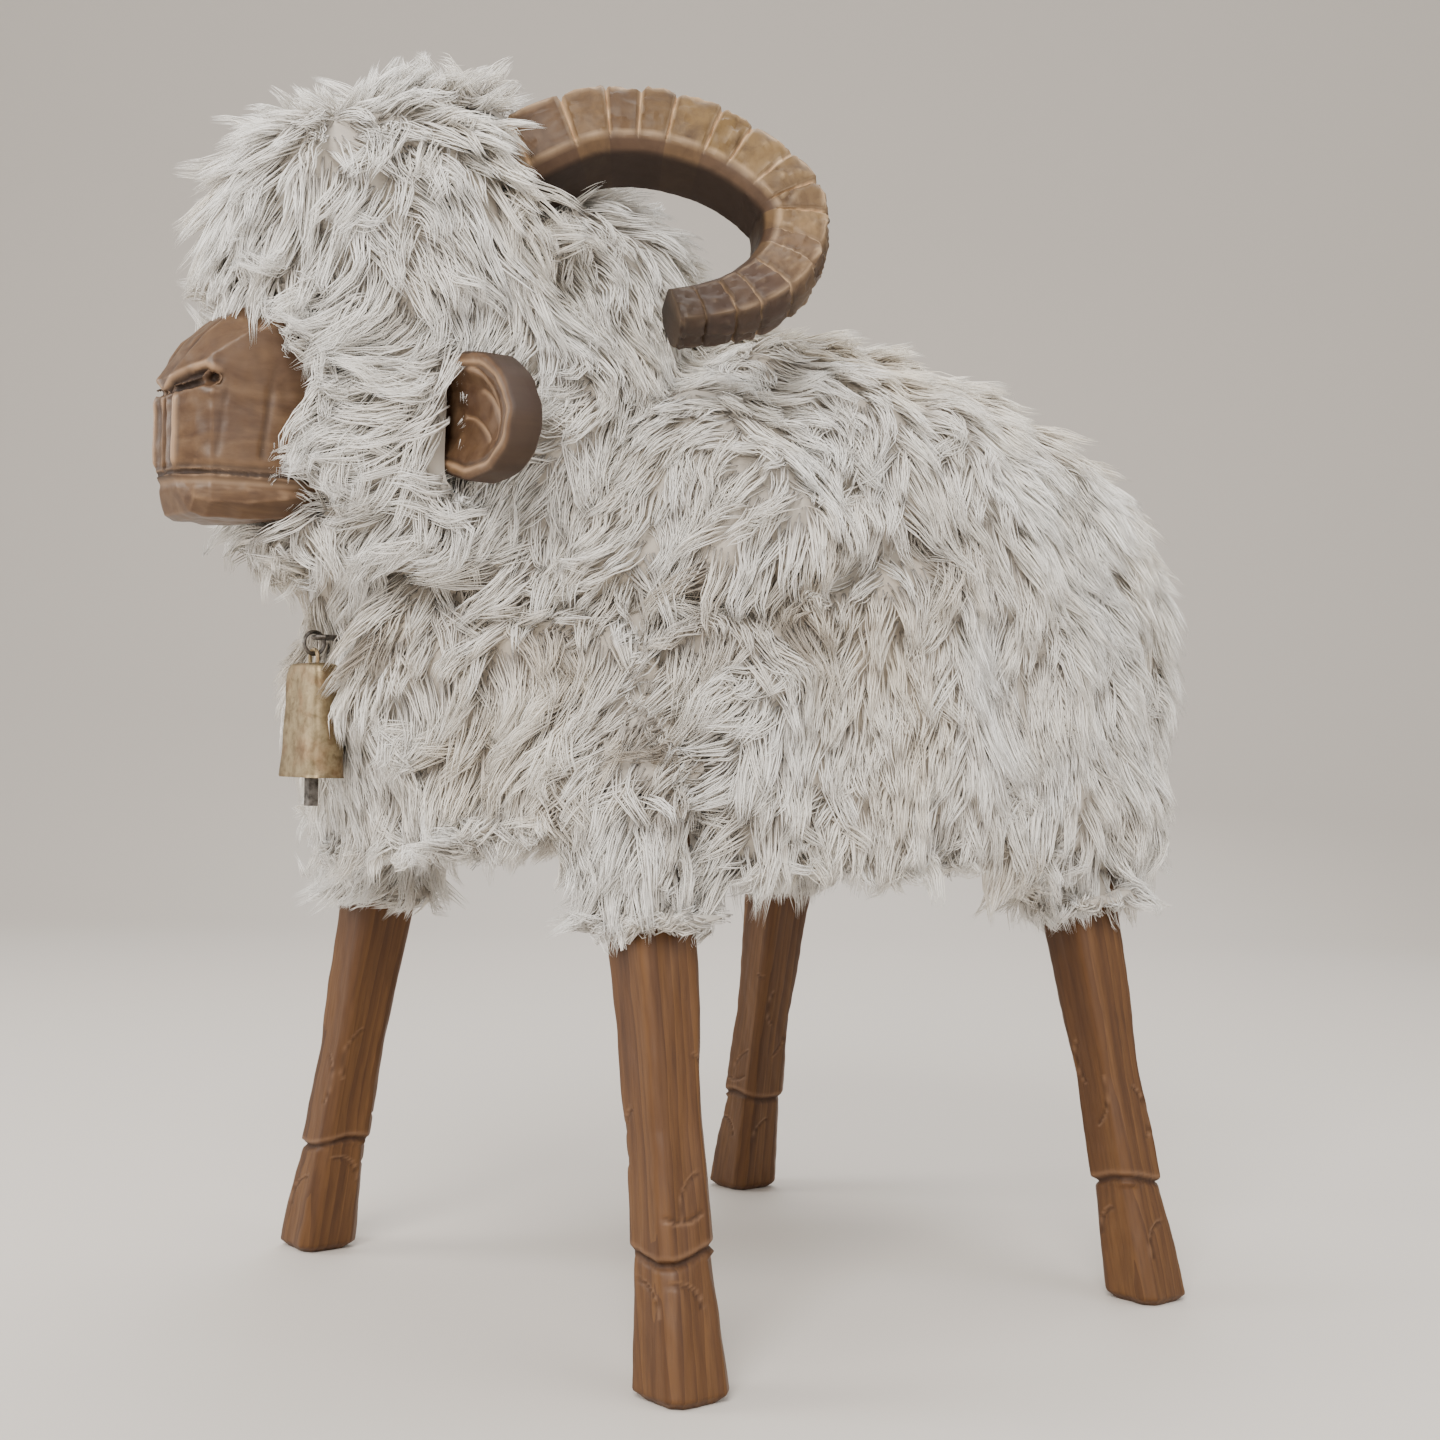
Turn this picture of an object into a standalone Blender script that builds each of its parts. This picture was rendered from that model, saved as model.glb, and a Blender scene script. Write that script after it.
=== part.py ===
"""A ram stool: carved wooden head, horns, ears and legs, a padded frame under sheepskin, and a bell.

Metres, +Z up. The ram faces -Y and its left side is +X. Places are measured from the middle of the
four feet, and the empty that everything hangs from moves that point to the middle of the whole length.
"""

import bmesh
import bpy
from math import atan, cos, pi, radians, sin
from mathutils import Vector

# ---- clearances between separate pieces ----
FIT_GAP = 0.0003
SOFT_GAP = 0.0008
PAD_GAP = 0.003

# ---- legs ----
FOOT_Y = 0.160
LEG_SPLAY_X = 0.219
LEG_SPLAY_Y = 0.052
LEG_TOP_Z = 0.335
LEG_THICKNESS = 0.035
ANKLE_THICKNESS = 0.0295
ANKLE_Z = 0.120
HOOF_THICKNESS = 0.036
HOOF_Z = 0.064
HOOF_STEP = 0.0016
LEG_CHAMFER = 0.0050

# ---- wooden frame ----
BOLSTER_THICKNESS = 0.040
BOLSTER_BOTTOM_Z = 0.266
SEAT_BOTTOM_Z = 0.345
SEAT_SIDE_ROOM = 0.066
RAIL_SIDE_ROOM = 0.118
SEAT_SCREW_SHARE = 7 / 12
SEAT_THICKNESS = 0.012
RAIL_THICKNESS = 0.020
POST_WIDTH = 0.044
POST_TOP_Z = 0.535

# ---- fasteners ----
BOLT_SHANK_R = 0.0040
BOLT_HEAD_R = 0.0085
BOLT_HEAD_H = 0.0045
LEG_BOLT_Z = 0.302
LEG_BOLT_GRIP = 0.036
NECK_BOLT_GRIP = 0.034
SCREW_SHANK_R = 0.0022
SCREW_HEAD_R = 0.0045
SCREW_LENGTH = 0.040
DOWEL_R = 0.0045
DOWEL_LENGTH = 0.056
TACK_HEAD_R = 0.0050
TACK_SHANK_R = 0.0012
TACK_LENGTH = 0.012

# ---- sheepskin body: a rounded box form ----
BODY_HALF_WIDTH = 0.178
BODY_MIDDLE_Y = -0.050
CHEST_REACH = 0.196
RUMP_REACH = 0.305
BODY_MIDDLE_Z = 0.340
BACK_HEIGHT = 0.175
BELLY_DROP = 0.127
CHEST_POWER = 2.2
RUMP_POWER = 5.0
BACK_POWER = 2.6
BELLY_POWER = 6.0
SHOULDER_FALL = 0.75
SHOULDER_POWER = 1.5
FLEECE_THICKNESS = 0.025
SIDE_PAD_THICKNESS = 0.008
SIDE_PAD_HALF_SPAN = Vector((0.30, 0.38))
SIDE_PAD_MIDDLE = Vector((0.02, -0.34))
FORM_CUTS = 7
PADDING_BOTTOM_Z = 0.268
DUST_COVER_THICKNESS = 0.0012
CUFF_R = 0.037
CUFF_HEM_R = 0.031
CUFF_BOTTOM_Z = 0.203

# ---- neck and head fleece ----
NECK_MIDDLE = Vector((0.0, -0.185, 0.455))
NECK_HALF = Vector((0.105, 0.115, 0.130))
NECK_HEM_ABOVE_EYE = 0.009
HEAD_FLEECE_MIDDLE = Vector((0.0, -0.221, 0.540))
HEAD_FLEECE_HALF = Vector((0.096, 0.096, 0.100))

# ---- carved head ----
HEAD_HALF_WIDTH = 0.045
HEAD_FRONT_Y = -0.341
MOUTH_Z = 0.4195
MOUTH_DEPTH = 0.0065
MOUTH_HEIGHT = 0.0034
NOSTRIL_R = 0.0030

# ---- horns ----
HORN_BLOCKS = 18
HORN_BASE_SCALE = 1.12
HORN_TIP_SCALE = 0.66
HORN_INNER_SWELL = 0.20
HORN_GROOVE = 0.0013
HORN_DOWEL_R = 0.0060
HORN_DOWEL_LENGTH = 0.040
HORN_DOWEL_MIDDLE = Vector((0.0455, -0.1915, 0.5725))

# ---- ears ----
EAR_THICKNESS = 0.018
EAR_MIDDLE_Y = -0.226
EAR_REACH = 0.091
EAR_HEIGHT = 0.062
EAR_ROOT_Z = 0.451
EAR_DOWEL_R = 0.0040
EAR_DOWEL_LENGTH = 0.040

# ---- bell ----
EYE_Z = 0.347
EYE_R = 0.0050
EYE_WIRE_R = 0.00125
EYE_SHANK_R = 0.0015
EYE_SHANK_LENGTH = 0.062
EYE_PIN_Y = -0.261
RING_R = 0.0055
RING_WIRE_R = 0.0010
LOOP_R = 0.0040
LINK_GAP = 0.0003
BELL_DROP = 0.0045
BELL_HEIGHT = 0.056
BELL_WALL = 0.0012
BELL_RIM_HALF_X = 0.0200
BELL_RIM_HALF_Y = 0.0104
BELL_TOP_HALF_X = 0.0166
BELL_TOP_HALF_Y = 0.0076
HOOK_DROP = 0.0065
HOOK_WIRE_R = 0.0008
CLAPPER_RING_R = 0.0030
CLAPPER_WIRE_R = 0.0009
CLAPPER_THICKNESS = 0.0050
CLAPPER_BELOW_RIM = 0.014

# ---- worked out from the sizes above: the feet stand under the flanks, the seat and rails fit between them ----
FOOT_X = BODY_HALF_WIDTH
SEAT_HALF_WIDTH = BODY_HALF_WIDTH - SEAT_SIDE_ROOM
RAIL_X = BODY_HALF_WIDTH - RAIL_SIDE_ROOM
RUMP_Y = BODY_MIDDLE_Y + RUMP_REACH
CENTRE_SHIFT_Y = -(HEAD_FRONT_Y + RUMP_Y) / 2
SPLAY = atan(LEG_SPLAY_X)
FRONT, REAR, LEFT, RIGHT = -1, 1, 1, -1
CORNERS = [
    ("front_left", LEFT, FRONT), ("front_right", RIGHT, FRONT),
    ("rear_left", LEFT, REAR), ("rear_right", RIGHT, REAR),
]
SIDES = [("left", LEFT), ("right", RIGHT)]


def clear_scene():
    for obj in list(bpy.context.scene.objects):
        bpy.data.objects.remove(obj, do_unlink=True)


def new_collection(name):
    made = bpy.data.collections.new(name)
    bpy.context.scene.collection.children.link(made)
    return made


clear_scene()
parts = new_collection("ram_stool")
cutters = new_collection("cutters")
cutters.hide_render = True
ram = bpy.data.objects.new("ram", None)
ram.location = (0, CENTRE_SHIFT_Y, 0)
parts.objects.link(ram)


def material(name, colour, roughness, metallic=0.0):
    made = bpy.data.materials.get(name) or bpy.data.materials.new(name)
    made.use_nodes = True
    shader = made.node_tree.nodes["Principled BSDF"]
    shader.inputs["Base Color"].default_value = (*colour, 1)
    shader.inputs["Roughness"].default_value = roughness
    shader.inputs["Metallic"].default_value = metallic
    return made


PINE = material("stained_pine", (0.20, 0.085, 0.035), 0.45)
CARVED = material("carved_head_wood", (0.30, 0.16, 0.085), 0.38)
HORN_WOOD = material("horn_wood", (0.38, 0.22, 0.11), 0.42)
RAW_WOOD = material("raw_frame_wood", (0.62, 0.47, 0.30), 0.70)
PLYWOOD = material("plywood", (0.66, 0.50, 0.32), 0.65)
BEECH = material("beech_dowel", (0.64, 0.46, 0.29), 0.60)
FOAM = material("padding", (0.78, 0.70, 0.45), 0.95)
HESSIAN = material("hessian", (0.45, 0.34, 0.20), 0.95)
FLEECE = material("sheepskin", (0.76, 0.73, 0.67), 0.95)
STEEL = material("zinc_steel", (0.50, 0.50, 0.50), 0.40, 1.0)
DARK_STEEL = material("dark_steel", (0.16, 0.15, 0.14), 0.50, 1.0)
BRASS = material("aged_brass", (0.42, 0.32, 0.18), 0.42, 1.0)


def face_outwards(bm):
    bmesh.ops.recalc_face_normals(bm, faces=bm.faces)
    if bm.calc_volume(signed=True) < 0:
        bmesh.ops.reverse_faces(bm, faces=bm.faces)


def add(name, mesh, finish, location=(0, 0, 0), parent=ram, collection=parts):
    """Puts a bmesh or a mesh in the scene as one named object."""
    if isinstance(mesh, bmesh.types.BMesh):
        built = bpy.data.meshes.new(name)
        mesh.to_mesh(built)
        mesh.free()
        mesh = built
    if finish:
        mesh.materials.append(finish)
    obj = bpy.data.objects.new(name, mesh)
    obj.location = location
    obj.parent = parent
    collection.objects.link(obj)
    if collection == cutters:
        obj.hide_render = True
        obj.display_type = "WIRE"
    return obj


def combine(obj, other, operation="DIFFERENCE"):
    modifier = obj.modifiers.new(f"{operation.lower()}_{other.name}", "BOOLEAN")
    modifier.object = other
    modifier.operation = operation
    modifier.solver = "EXACT"
    return obj


def block(name, low, high, finish, **where):
    """A box between two corners."""
    low, high = Vector(low), Vector(high)
    bm = bmesh.new()
    bmesh.ops.create_cube(bm, size=1)
    bmesh.ops.scale(bm, vec=high - low, verts=bm.verts)
    return add(name, bm, finish, location=(low + high) / 2, **where)


def rod(name, start, end, radius, finish, segments=14, **where):
    """A round bar between two points."""
    start, end = Vector(start), Vector(end)
    bm = bmesh.new()
    bmesh.ops.create_cone(
        bm, cap_ends=True, segments=segments, radius1=radius, radius2=radius, depth=(end - start).length
    )
    obj = add(name, bm, finish, location=(start + end) / 2, **where)
    obj.rotation_euler = (end - start).to_track_quat("Z", "Y").to_euler()
    return obj


def ball(name, middle, half, finish, around=22, up=14, **where):
    bm = bmesh.new()
    bmesh.ops.create_uvsphere(bm, u_segments=around, v_segments=up, radius=1)
    bmesh.ops.scale(bm, vec=half, verts=bm.verts)
    return add(name, bm, finish, location=middle, **where)


def torus(name, middle, normal, radius, wire, finish, around=18, sides=8, **where):
    """A round wire ring, made by turning the wire's own circle about the ring's normal."""
    mesh = bpy.data.meshes.new(name)
    turns = [-2 * pi * i / sides for i in range(sides)]
    points = [(radius + wire * cos(a), 0, wire * sin(a)) for a in turns]
    mesh.from_pydata(points, [(i, (i + 1) % sides) for i in range(sides)], [])
    obj = add(name, mesh, finish, location=middle, **where)
    obj.rotation_euler = Vector(normal).to_track_quat("Z", "Y").to_euler()
    turn = obj.modifiers.new("turn", "SCREW")
    turn.steps = turn.render_steps = around
    turn.use_merge_vertices = True
    turn.merge_threshold = 0.00005
    return obj


def turned(name, profile, head_at, points_to, finish, segments=14, **where):
    """A turned piece: profile is (radius, height) from the top of its head down to its point."""
    mesh = bpy.data.meshes.new(name)
    mesh.from_pydata([(r, 0, z) for r, z in profile], [(i, i + 1) for i in range(len(profile) - 1)], [])
    obj = add(name, mesh, finish, location=head_at, **where)
    obj.rotation_euler = (-Vector(points_to)).to_track_quat("Z", "Y").to_euler()
    turn = obj.modifiers.new("turn", "SCREW")
    turn.steps = turn.render_steps = segments
    turn.use_merge_vertices = True
    turn.merge_threshold = 0.00005
    return obj


def loft(name, rings, finish, **where):
    """A closed body through rings of equal length, with its two ends capped."""
    bm = bmesh.new()
    loops = [[bm.verts.new(point) for point in ring] for ring in rings]
    for lower, upper in zip(loops, loops[1:]):
        for i, point in enumerate(lower):
            j = (i + 1) % len(lower)
            bm.faces.new((point, lower[j], upper[j], upper[i]))
    bm.faces.new(loops[0])
    bm.faces.new(loops[-1])
    face_outwards(bm)
    return add(name, bm, finish, **where)


def wire(name, points, radius, finish, **where):
    """A bent wire through the points, as a closed mesh."""
    curve = bpy.data.curves.new(name, "CURVE")
    curve.dimensions = "3D"
    curve.bevel_depth = radius
    curve.bevel_resolution = 2
    curve.use_fill_caps = True
    spline = curve.splines.new("POLY")
    spline.points.add(len(points) - 1)
    for place, point in zip(spline.points, points):
        place.co = (*point, 1)
    curve.materials.append(finish)
    obj = bpy.data.objects.new(name, curve)
    obj.parent = where.get("parent", ram)
    obj.location = where.get("location", (0, 0, 0))
    parts.objects.link(obj)
    return obj


def bolt(name, seat, points_to, grip, finish, **where):
    """A domed coach bolt whose head sits on the point called seat."""
    profile = [
        (0, BOLT_HEAD_H), (BOLT_HEAD_R * 0.6, BOLT_HEAD_H * 0.85), (BOLT_HEAD_R, BOLT_HEAD_H * 0.25),
        (BOLT_HEAD_R, FIT_GAP), (BOLT_SHANK_R, FIT_GAP), (BOLT_SHANK_R, -grip), (0, -grip - BOLT_SHANK_R * 0.6),
    ]
    return turned(name, profile, seat, points_to, finish, **where)


def screw(name, seat, points_to, length, finish, **where):
    """A countersunk screw whose flat head is level with the point called seat."""
    profile = [
        (0, -FIT_GAP), (SCREW_HEAD_R, -FIT_GAP), (SCREW_SHANK_R, -FIT_GAP - (SCREW_HEAD_R - SCREW_SHANK_R)),
        (SCREW_SHANK_R, -length), (0, -length - SCREW_SHANK_R),
    ]
    return turned(name, profile, seat, points_to, finish, segments=12, **where)


def screw_hole(name, seat, points_to, length):
    grow = FIT_GAP
    profile = [
        (0, grow * 4), (SCREW_HEAD_R + grow * 5, grow * 4),
        (SCREW_SHANK_R + grow, -FIT_GAP - (SCREW_HEAD_R - SCREW_SHANK_R) - grow),
        (SCREW_SHANK_R + grow, -length - grow * 3), (0, -length - SCREW_SHANK_R - grow * 4),
    ]
    return turned(name, profile, seat, points_to, None, segments=12, collection=cutters)


# ---- legs ----

def leg_x(z):
    return FOOT_X - LEG_SPLAY_X * z


def leg_y(z):
    return FOOT_Y - LEG_SPLAY_Y * z


def chamfered_square(centre, thickness, chamfer):
    half = thickness / 2
    inner = half - chamfer
    corners = [(half, inner), (inner, half), (-inner, half), (-half, inner),
               (-half, -inner), (-inner, -half), (inner, -half), (half, -inner)]
    return [Vector((centre.x + x, centre.y + y, centre.z)) for x, y in corners]


def leg_profile():
    """(height, thickness, chamfer) of a leg from the floor up."""
    sole_edge = 0.004
    return [
        (0.0, HOOF_THICKNESS - 2 * sole_edge, LEG_CHAMFER),
        (sole_edge, HOOF_THICKNESS, LEG_CHAMFER),
        (HOOF_Z * 0.55, HOOF_THICKNESS * 0.95, LEG_CHAMFER * 1.2),
        (HOOF_Z - HOOF_STEP, ANKLE_THICKNESS + HOOF_STEP, LEG_CHAMFER * 1.3),
        (HOOF_Z, ANKLE_THICKNESS + 2 * HOOF_STEP, LEG_CHAMFER),
        (ANKLE_Z, ANKLE_THICKNESS, LEG_CHAMFER * 0.8),
        ((ANKLE_Z + CUFF_BOTTOM_Z) / 2, (ANKLE_THICKNESS + LEG_THICKNESS) / 2, LEG_CHAMFER * 0.8),
        (CUFF_BOTTOM_Z, LEG_THICKNESS, LEG_CHAMFER * 0.8),
        (LEG_TOP_Z, LEG_THICKNESS, LEG_CHAMFER * 0.8),
    ]


def leg_middle(side, end, z):
    return Vector((side * leg_x(z), end * leg_y(z), z))


def leg_normal(side):
    """The direction square to a leg's outer face."""
    return Vector((side * cos(SPLAY), 0, sin(SPLAY)))


def leg_clearance(name, side, end):
    """What the soft pieces leave out around a leg and its wool cuff."""
    cuff = CUFF_R + SOFT_GAP
    room = BOLT_HEAD_R + LEG_THICKNESS / 2 + 0.005
    rings = []
    for z, radius in [(CUFF_BOTTOM_Z - 0.02, cuff), (cuff_top_z() + FIT_GAP, cuff),
                      (cuff_top_z() + 2 * FIT_GAP, room), (LEG_TOP_Z + 0.006, room)]:
        middle = leg_middle(side, end, z)
        rings.append(circle(middle, radius, 16))
    return loft(f"cut_leg_{name}", rings, None, collection=cutters)


def circle(middle, radius, count):
    angles = [2 * pi * i / count for i in range(count)]
    return [middle + Vector((radius * cos(a), radius * sin(a), 0)) for a in angles]


def cuff_top_z():
    return BOLSTER_BOTTOM_Z - DUST_COVER_THICKNESS - 3 * FIT_GAP


def make_legs():
    for name, side, end in CORNERS:
        rings = [
            chamfered_square(leg_middle(side, end, z), thickness, chamfer)
            for z, thickness, chamfer in leg_profile()
        ]
        leg = loft(f"leg_{name}", rings, PINE)
        seat = leg_middle(side, end, LEG_BOLT_Z) + leg_normal(side) * (LEG_THICKNESS / 2) * cos(SPLAY)
        inward = -leg_normal(side)
        bolt(f"leg_bolt_{name}", seat, inward, LEG_THICKNESS + LEG_BOLT_GRIP, STEEL)
        hole_end = seat + inward * (LEG_THICKNESS + LEG_BOLT_GRIP + BOLT_SHANK_R)
        hole = rod(f"cut_leg_bolt_{name}", seat - inward * 0.01, hole_end, BOLT_SHANK_R + 2 * FIT_GAP, None,
                   collection=cutters)
        combine(leg, hole)


# ---- frame ----

def make_frame():
    top = SEAT_BOTTOM_Z - FIT_GAP
    middle_y = leg_y((BOLSTER_BOTTOM_Z + top) / 2)
    half = BOLSTER_THICKNESS / 2
    for name, end in (("front", FRONT), ("rear", REAR)):
        rings = []
        for z in (BOLSTER_BOTTOM_Z, top):
            reach = leg_x(z) - LEG_THICKNESS / 2 - FIT_GAP
            rings.append([
                Vector((x * reach, end * middle_y + y * half, z)) for x, y in ((1, 1), (-1, 1), (-1, -1), (1, -1))
            ])
        bolster = loft(f"bolster_{name}", rings, RAW_WOOD)
        for corner, side, which in CORNERS:
            if which == end:
                combine(bolster, cutters.objects[f"cut_leg_bolt_{corner}"])

    inner_y = middle_y - half - FIT_GAP
    for name, side in SIDES:
        low = (side * RAIL_X - RAIL_THICKNESS / 2, -inner_y, BOLSTER_BOTTOM_Z)
        high = (side * RAIL_X + RAIL_THICKNESS / 2, inner_y, top)
        rail = block(f"side_rail_{name}", low, high, RAW_WOOD)
        for corner, which, end in CORNERS:
            if which != side:
                continue
            z = (BOLSTER_BOTTOM_Z + top) / 2
            middle = Vector((side * RAIL_X, end * (inner_y + FIT_GAP / 2), z))
            along = Vector((0, DOWEL_LENGTH / 2, 0))
            rod(f"rail_dowel_{corner}", middle - along, middle + along, DOWEL_R, BEECH, segments=12)
            room = along * (1 + 2 * FIT_GAP / DOWEL_LENGTH)
            hole = rod(f"cut_rail_dowel_{corner}", middle - room, middle + room, DOWEL_R + FIT_GAP, None,
                       segments=12, collection=cutters)
            combine(rail, hole)
            combine(parts.objects["bolster_front" if end == FRONT else "bolster_rear"], hole)

    seat_top = SEAT_BOTTOM_Z + SEAT_THICKNESS
    edge_y = middle_y + half
    board = block("seat_board", (-SEAT_HALF_WIDTH, -edge_y, SEAT_BOTTOM_Z),
                  (SEAT_HALF_WIDTH, edge_y + 0.02, seat_top), PLYWOOD)
    for corner, side, end in CORNERS:
        seat = Vector((side * RAIL_X * SEAT_SCREW_SHARE, end * middle_y, seat_top))
        screw(f"seat_screw_{corner}", seat, (0, 0, -1), SCREW_LENGTH, STEEL)
        hole = screw_hole(f"cut_seat_screw_{corner}", seat, (0, 0, -1), SCREW_LENGTH)
        combine(board, hole)
        combine(parts.objects["bolster_front" if end == FRONT else "bolster_rear"], hole)
    make_neck_post(edge_y)


def make_neck_post(edge_y):
    back = -edge_y - FIT_GAP
    front = back - POST_WIDTH
    half = POST_WIDTH / 2
    post = block("neck_post", (-half, front, PADDING_BOTTOM_Z), (half, back, POST_TOP_Z), RAW_WOOD)
    height = SEAT_BOTTOM_Z - BOLSTER_BOTTOM_Z
    for name, share in (("lower", 0.24), ("upper", 0.72)):
        seat = Vector((0, front, BOLSTER_BOTTOM_Z + share * height))
        bolt(f"neck_bolt_{name}", seat, (0, 1, 0), POST_WIDTH + NECK_BOLT_GRIP, STEEL)
        hole = rod(f"cut_neck_bolt_{name}", seat - Vector((0, 0.01, 0)),
                   seat + Vector((0, POST_WIDTH + NECK_BOLT_GRIP + BOLT_SHANK_R, 0)),
                   BOLT_SHANK_R + 2 * FIT_GAP, None, collection=cutters)
        combine(post, hole)
        combine(parts.objects["bolster_front"], hole)
    block("cut_post", (-half - SOFT_GAP, front - SOFT_GAP, PADDING_BOTTOM_Z - 0.01),
          (half + SOFT_GAP, back + SOFT_GAP, POST_TOP_Z + 0.03), None, collection=cutters)
    block("cut_post_notch", (-half - SOFT_GAP, front - POST_WIDTH, PADDING_BOTTOM_Z - 0.01),
          (half + SOFT_GAP, back + SOFT_GAP, POST_TOP_Z + 0.03), None, collection=cutters)
    block("cut_post_socket", (-half - FIT_GAP, front - FIT_GAP, 0.40),
          (half + FIT_GAP, back + FIT_GAP, POST_TOP_Z + FIT_GAP), None, collection=cutters)


# ---- carved head, horns and ears ----

def head_ring(y, top_half, half, top_z, shoulder_z, low_z, bottom_z, bottom_half, grow=0.0):
    outline = [(top_half + grow, top_z + grow), (half + grow, shoulder_z + grow),
               (half + grow, low_z - grow), (bottom_half + grow, bottom_z - grow)]
    whole = outline + [(-x, z) for x, z in reversed(outline)]
    return [Vector((x, y, z)) for x, z in whole]


def head_rings(grow=0.0):
    """Sections of the head from the nose back: narrow at the lip, full width from the cheeks back."""
    wide = HEAD_HALF_WIDTH
    nose = HEAD_FRONT_Y
    sections = [
        (nose - grow, 0.0070, 0.0100, 0.4735, 0.4690, 0.4230, 0.4185, 0.0080),
        (nose + 0.007, 0.0100, 0.0190, 0.4850, 0.4760, 0.4080, 0.4010, 0.0140),
        (nose + 0.013, 0.0115, 0.0240, 0.4910, 0.4810, 0.4060, 0.3990, 0.0170),
        (nose + 0.029, 0.0130, 0.0285, 0.4990, 0.4870, 0.4060, 0.3990, 0.0200),
        (nose + 0.051, 0.0140, 0.0330, 0.5060, 0.4920, 0.4100, 0.4010, 0.0230),
        (nose + 0.076, 0.0160, 0.0370, 0.5180, 0.5010, 0.4180, 0.4070, 0.0250),
        (nose + 0.099, 0.0220, wide, 0.5600, 0.5400, 0.4300, 0.4200, 0.0300),
        (nose + 0.131, 0.0280, wide, 0.5970, 0.5840, 0.4350, 0.4300, 0.0350),
        (nose + 0.169, 0.0280, wide, 0.6000, 0.5860, 0.4500, 0.4420, 0.0350),
        (nose + 0.193 + grow, 0.0220, 0.0380, 0.5850, 0.5650, 0.4780, 0.4700, 0.0300),
    ]
    return [head_ring(*section, grow=grow) for section in sections]


def mouth_cutter():
    """A wedge that follows the lips round the front and the sides of the jaw."""
    path = [(0.060, 0.085), (0.0350, 0.066), (0.0300, 0.030), (0.0240, 0.0115), (0.0100, -0.001)]
    path += [(-x, y) for x, y in reversed(path)]
    points = [Vector((x, HEAD_FRONT_Y + y, MOUTH_Z)) for x, y in path]
    heart = Vector((0, HEAD_FRONT_Y + 0.075, MOUTH_Z))
    rings = []
    for point in points:
        outward = (point - heart).normalized()
        rings.append([
            point - outward * MOUTH_DEPTH,
            point + outward * 0.004 + Vector((0, 0, MOUTH_HEIGHT * 0.75)),
            point + outward * 0.004 - Vector((0, 0, MOUTH_HEIGHT * 0.55)),
        ])
    return loft("cut_mouth", rings, None, collection=cutters)


def philtrum_cutter():
    """An upright wedge that parts the upper lip."""
    half, depth = 0.0026, 0.005
    rings = [
        [Vector((-half, HEAD_FRONT_Y - 0.002, z)), Vector((half, HEAD_FRONT_Y - 0.002, z)),
         Vector((0, HEAD_FRONT_Y + depth, z))]
        for z in (MOUTH_Z, 0.4665)
    ]
    return loft("cut_philtrum", rings, None, collection=cutters)


def make_head():
    head = loft("head_block", head_rings(), CARVED)
    combine(head, mouth_cutter())
    combine(head, philtrum_cutter())
    combine(head, cutters.objects["cut_post_socket"])
    for name, side in SIDES:
        mouth = Vector((side * 0.0235, HEAD_FRONT_Y + 0.0105, 0.4685))
        inward = Vector((-side * 0.45, 0.85, 0.05)).normalized()
        nostril = rod(f"cut_nostril_{name}", mouth - inward * 0.012, mouth + inward * 0.008, NOSTRIL_R, None,
                      segments=10, collection=cutters)
        combine(head, nostril)
        slit_start = Vector((side * 0.006, HEAD_FRONT_Y - 0.001, 0.4640))
        slit = rod(f"cut_nostril_slit_{name}", slit_start, mouth + inward * 0.001, NOSTRIL_R * 0.6, None,
                   segments=8, collection=cutters)
        combine(head, slit)
    seat = Vector((0, HEAD_FRONT_Y + 0.193, 0.505))
    screw("head_screw", seat, (0, -1, 0), SCREW_LENGTH, STEEL)
    hole = screw_hole("cut_head_screw", seat, (0, -1, 0), SCREW_LENGTH)
    combine(head, hole)
    combine(parts.objects["neck_post"], hole)
    loft("cut_head", head_rings(SOFT_GAP), None, collection=cutters)


def horn_path():
    """The left horn's middle line: out of the skull, up and back, then down and round to its tip."""
    return [Vector((x, -ahead, z)) for x, ahead, z in (
        (0.012, 0.236, 0.536), (0.030, 0.212, 0.556), (0.048, 0.190, 0.577), (0.070, 0.163, 0.595),
        (0.085, 0.142, 0.600), (0.100, 0.122, 0.598), (0.116, 0.102, 0.590), (0.130, 0.086, 0.576),
        (0.142, 0.078, 0.558), (0.150, 0.084, 0.538), (0.155, 0.099, 0.520), (0.155, 0.118, 0.507),
        (0.151, 0.136, 0.500), (0.145, 0.154, 0.496), (0.138, 0.170, 0.494),
    )]


def smooth_point(points, t):
    """A point of the Catmull-Rom curve through the points, and its direction; t counts spans."""
    span = min(int(t), len(points) - 4)
    u = t - span
    a, b, c, d = points[span:span + 4]
    place = 0.5 * (2 * b + (c - a) * u + (2 * a - 5 * b + 4 * c - d) * u * u + (3 * b - a - 3 * c + d) * u ** 3)
    along = 0.5 * ((c - a) + 2 * (2 * a - 5 * b + 4 * c - d) * u + 3 * (3 * b - a - 3 * c + d) * u * u)
    return place, along.normalized()


def horn_section(scale, groove, inner):
    """(across, outward) points: a carved front face, a chamfer, the smooth inner face and the back."""
    carved = groove
    outline = [
        (0.0175 - carved, 0.0150 - carved * 0.7), (0.0200 - carved, 0.0040), (0.0195 - carved, -0.0115 * inner),
        (0.0135, -0.0175 * inner), (-0.0095, -0.0215 * inner), (-0.0180, -0.0140 * inner), (-0.0185, 0.0040),
        (-0.0110, 0.0165 - carved * 0.5), (0.0040, 0.0185 - carved),
    ]
    return [(across * scale, outward * scale) for across, outward in outline]


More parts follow.
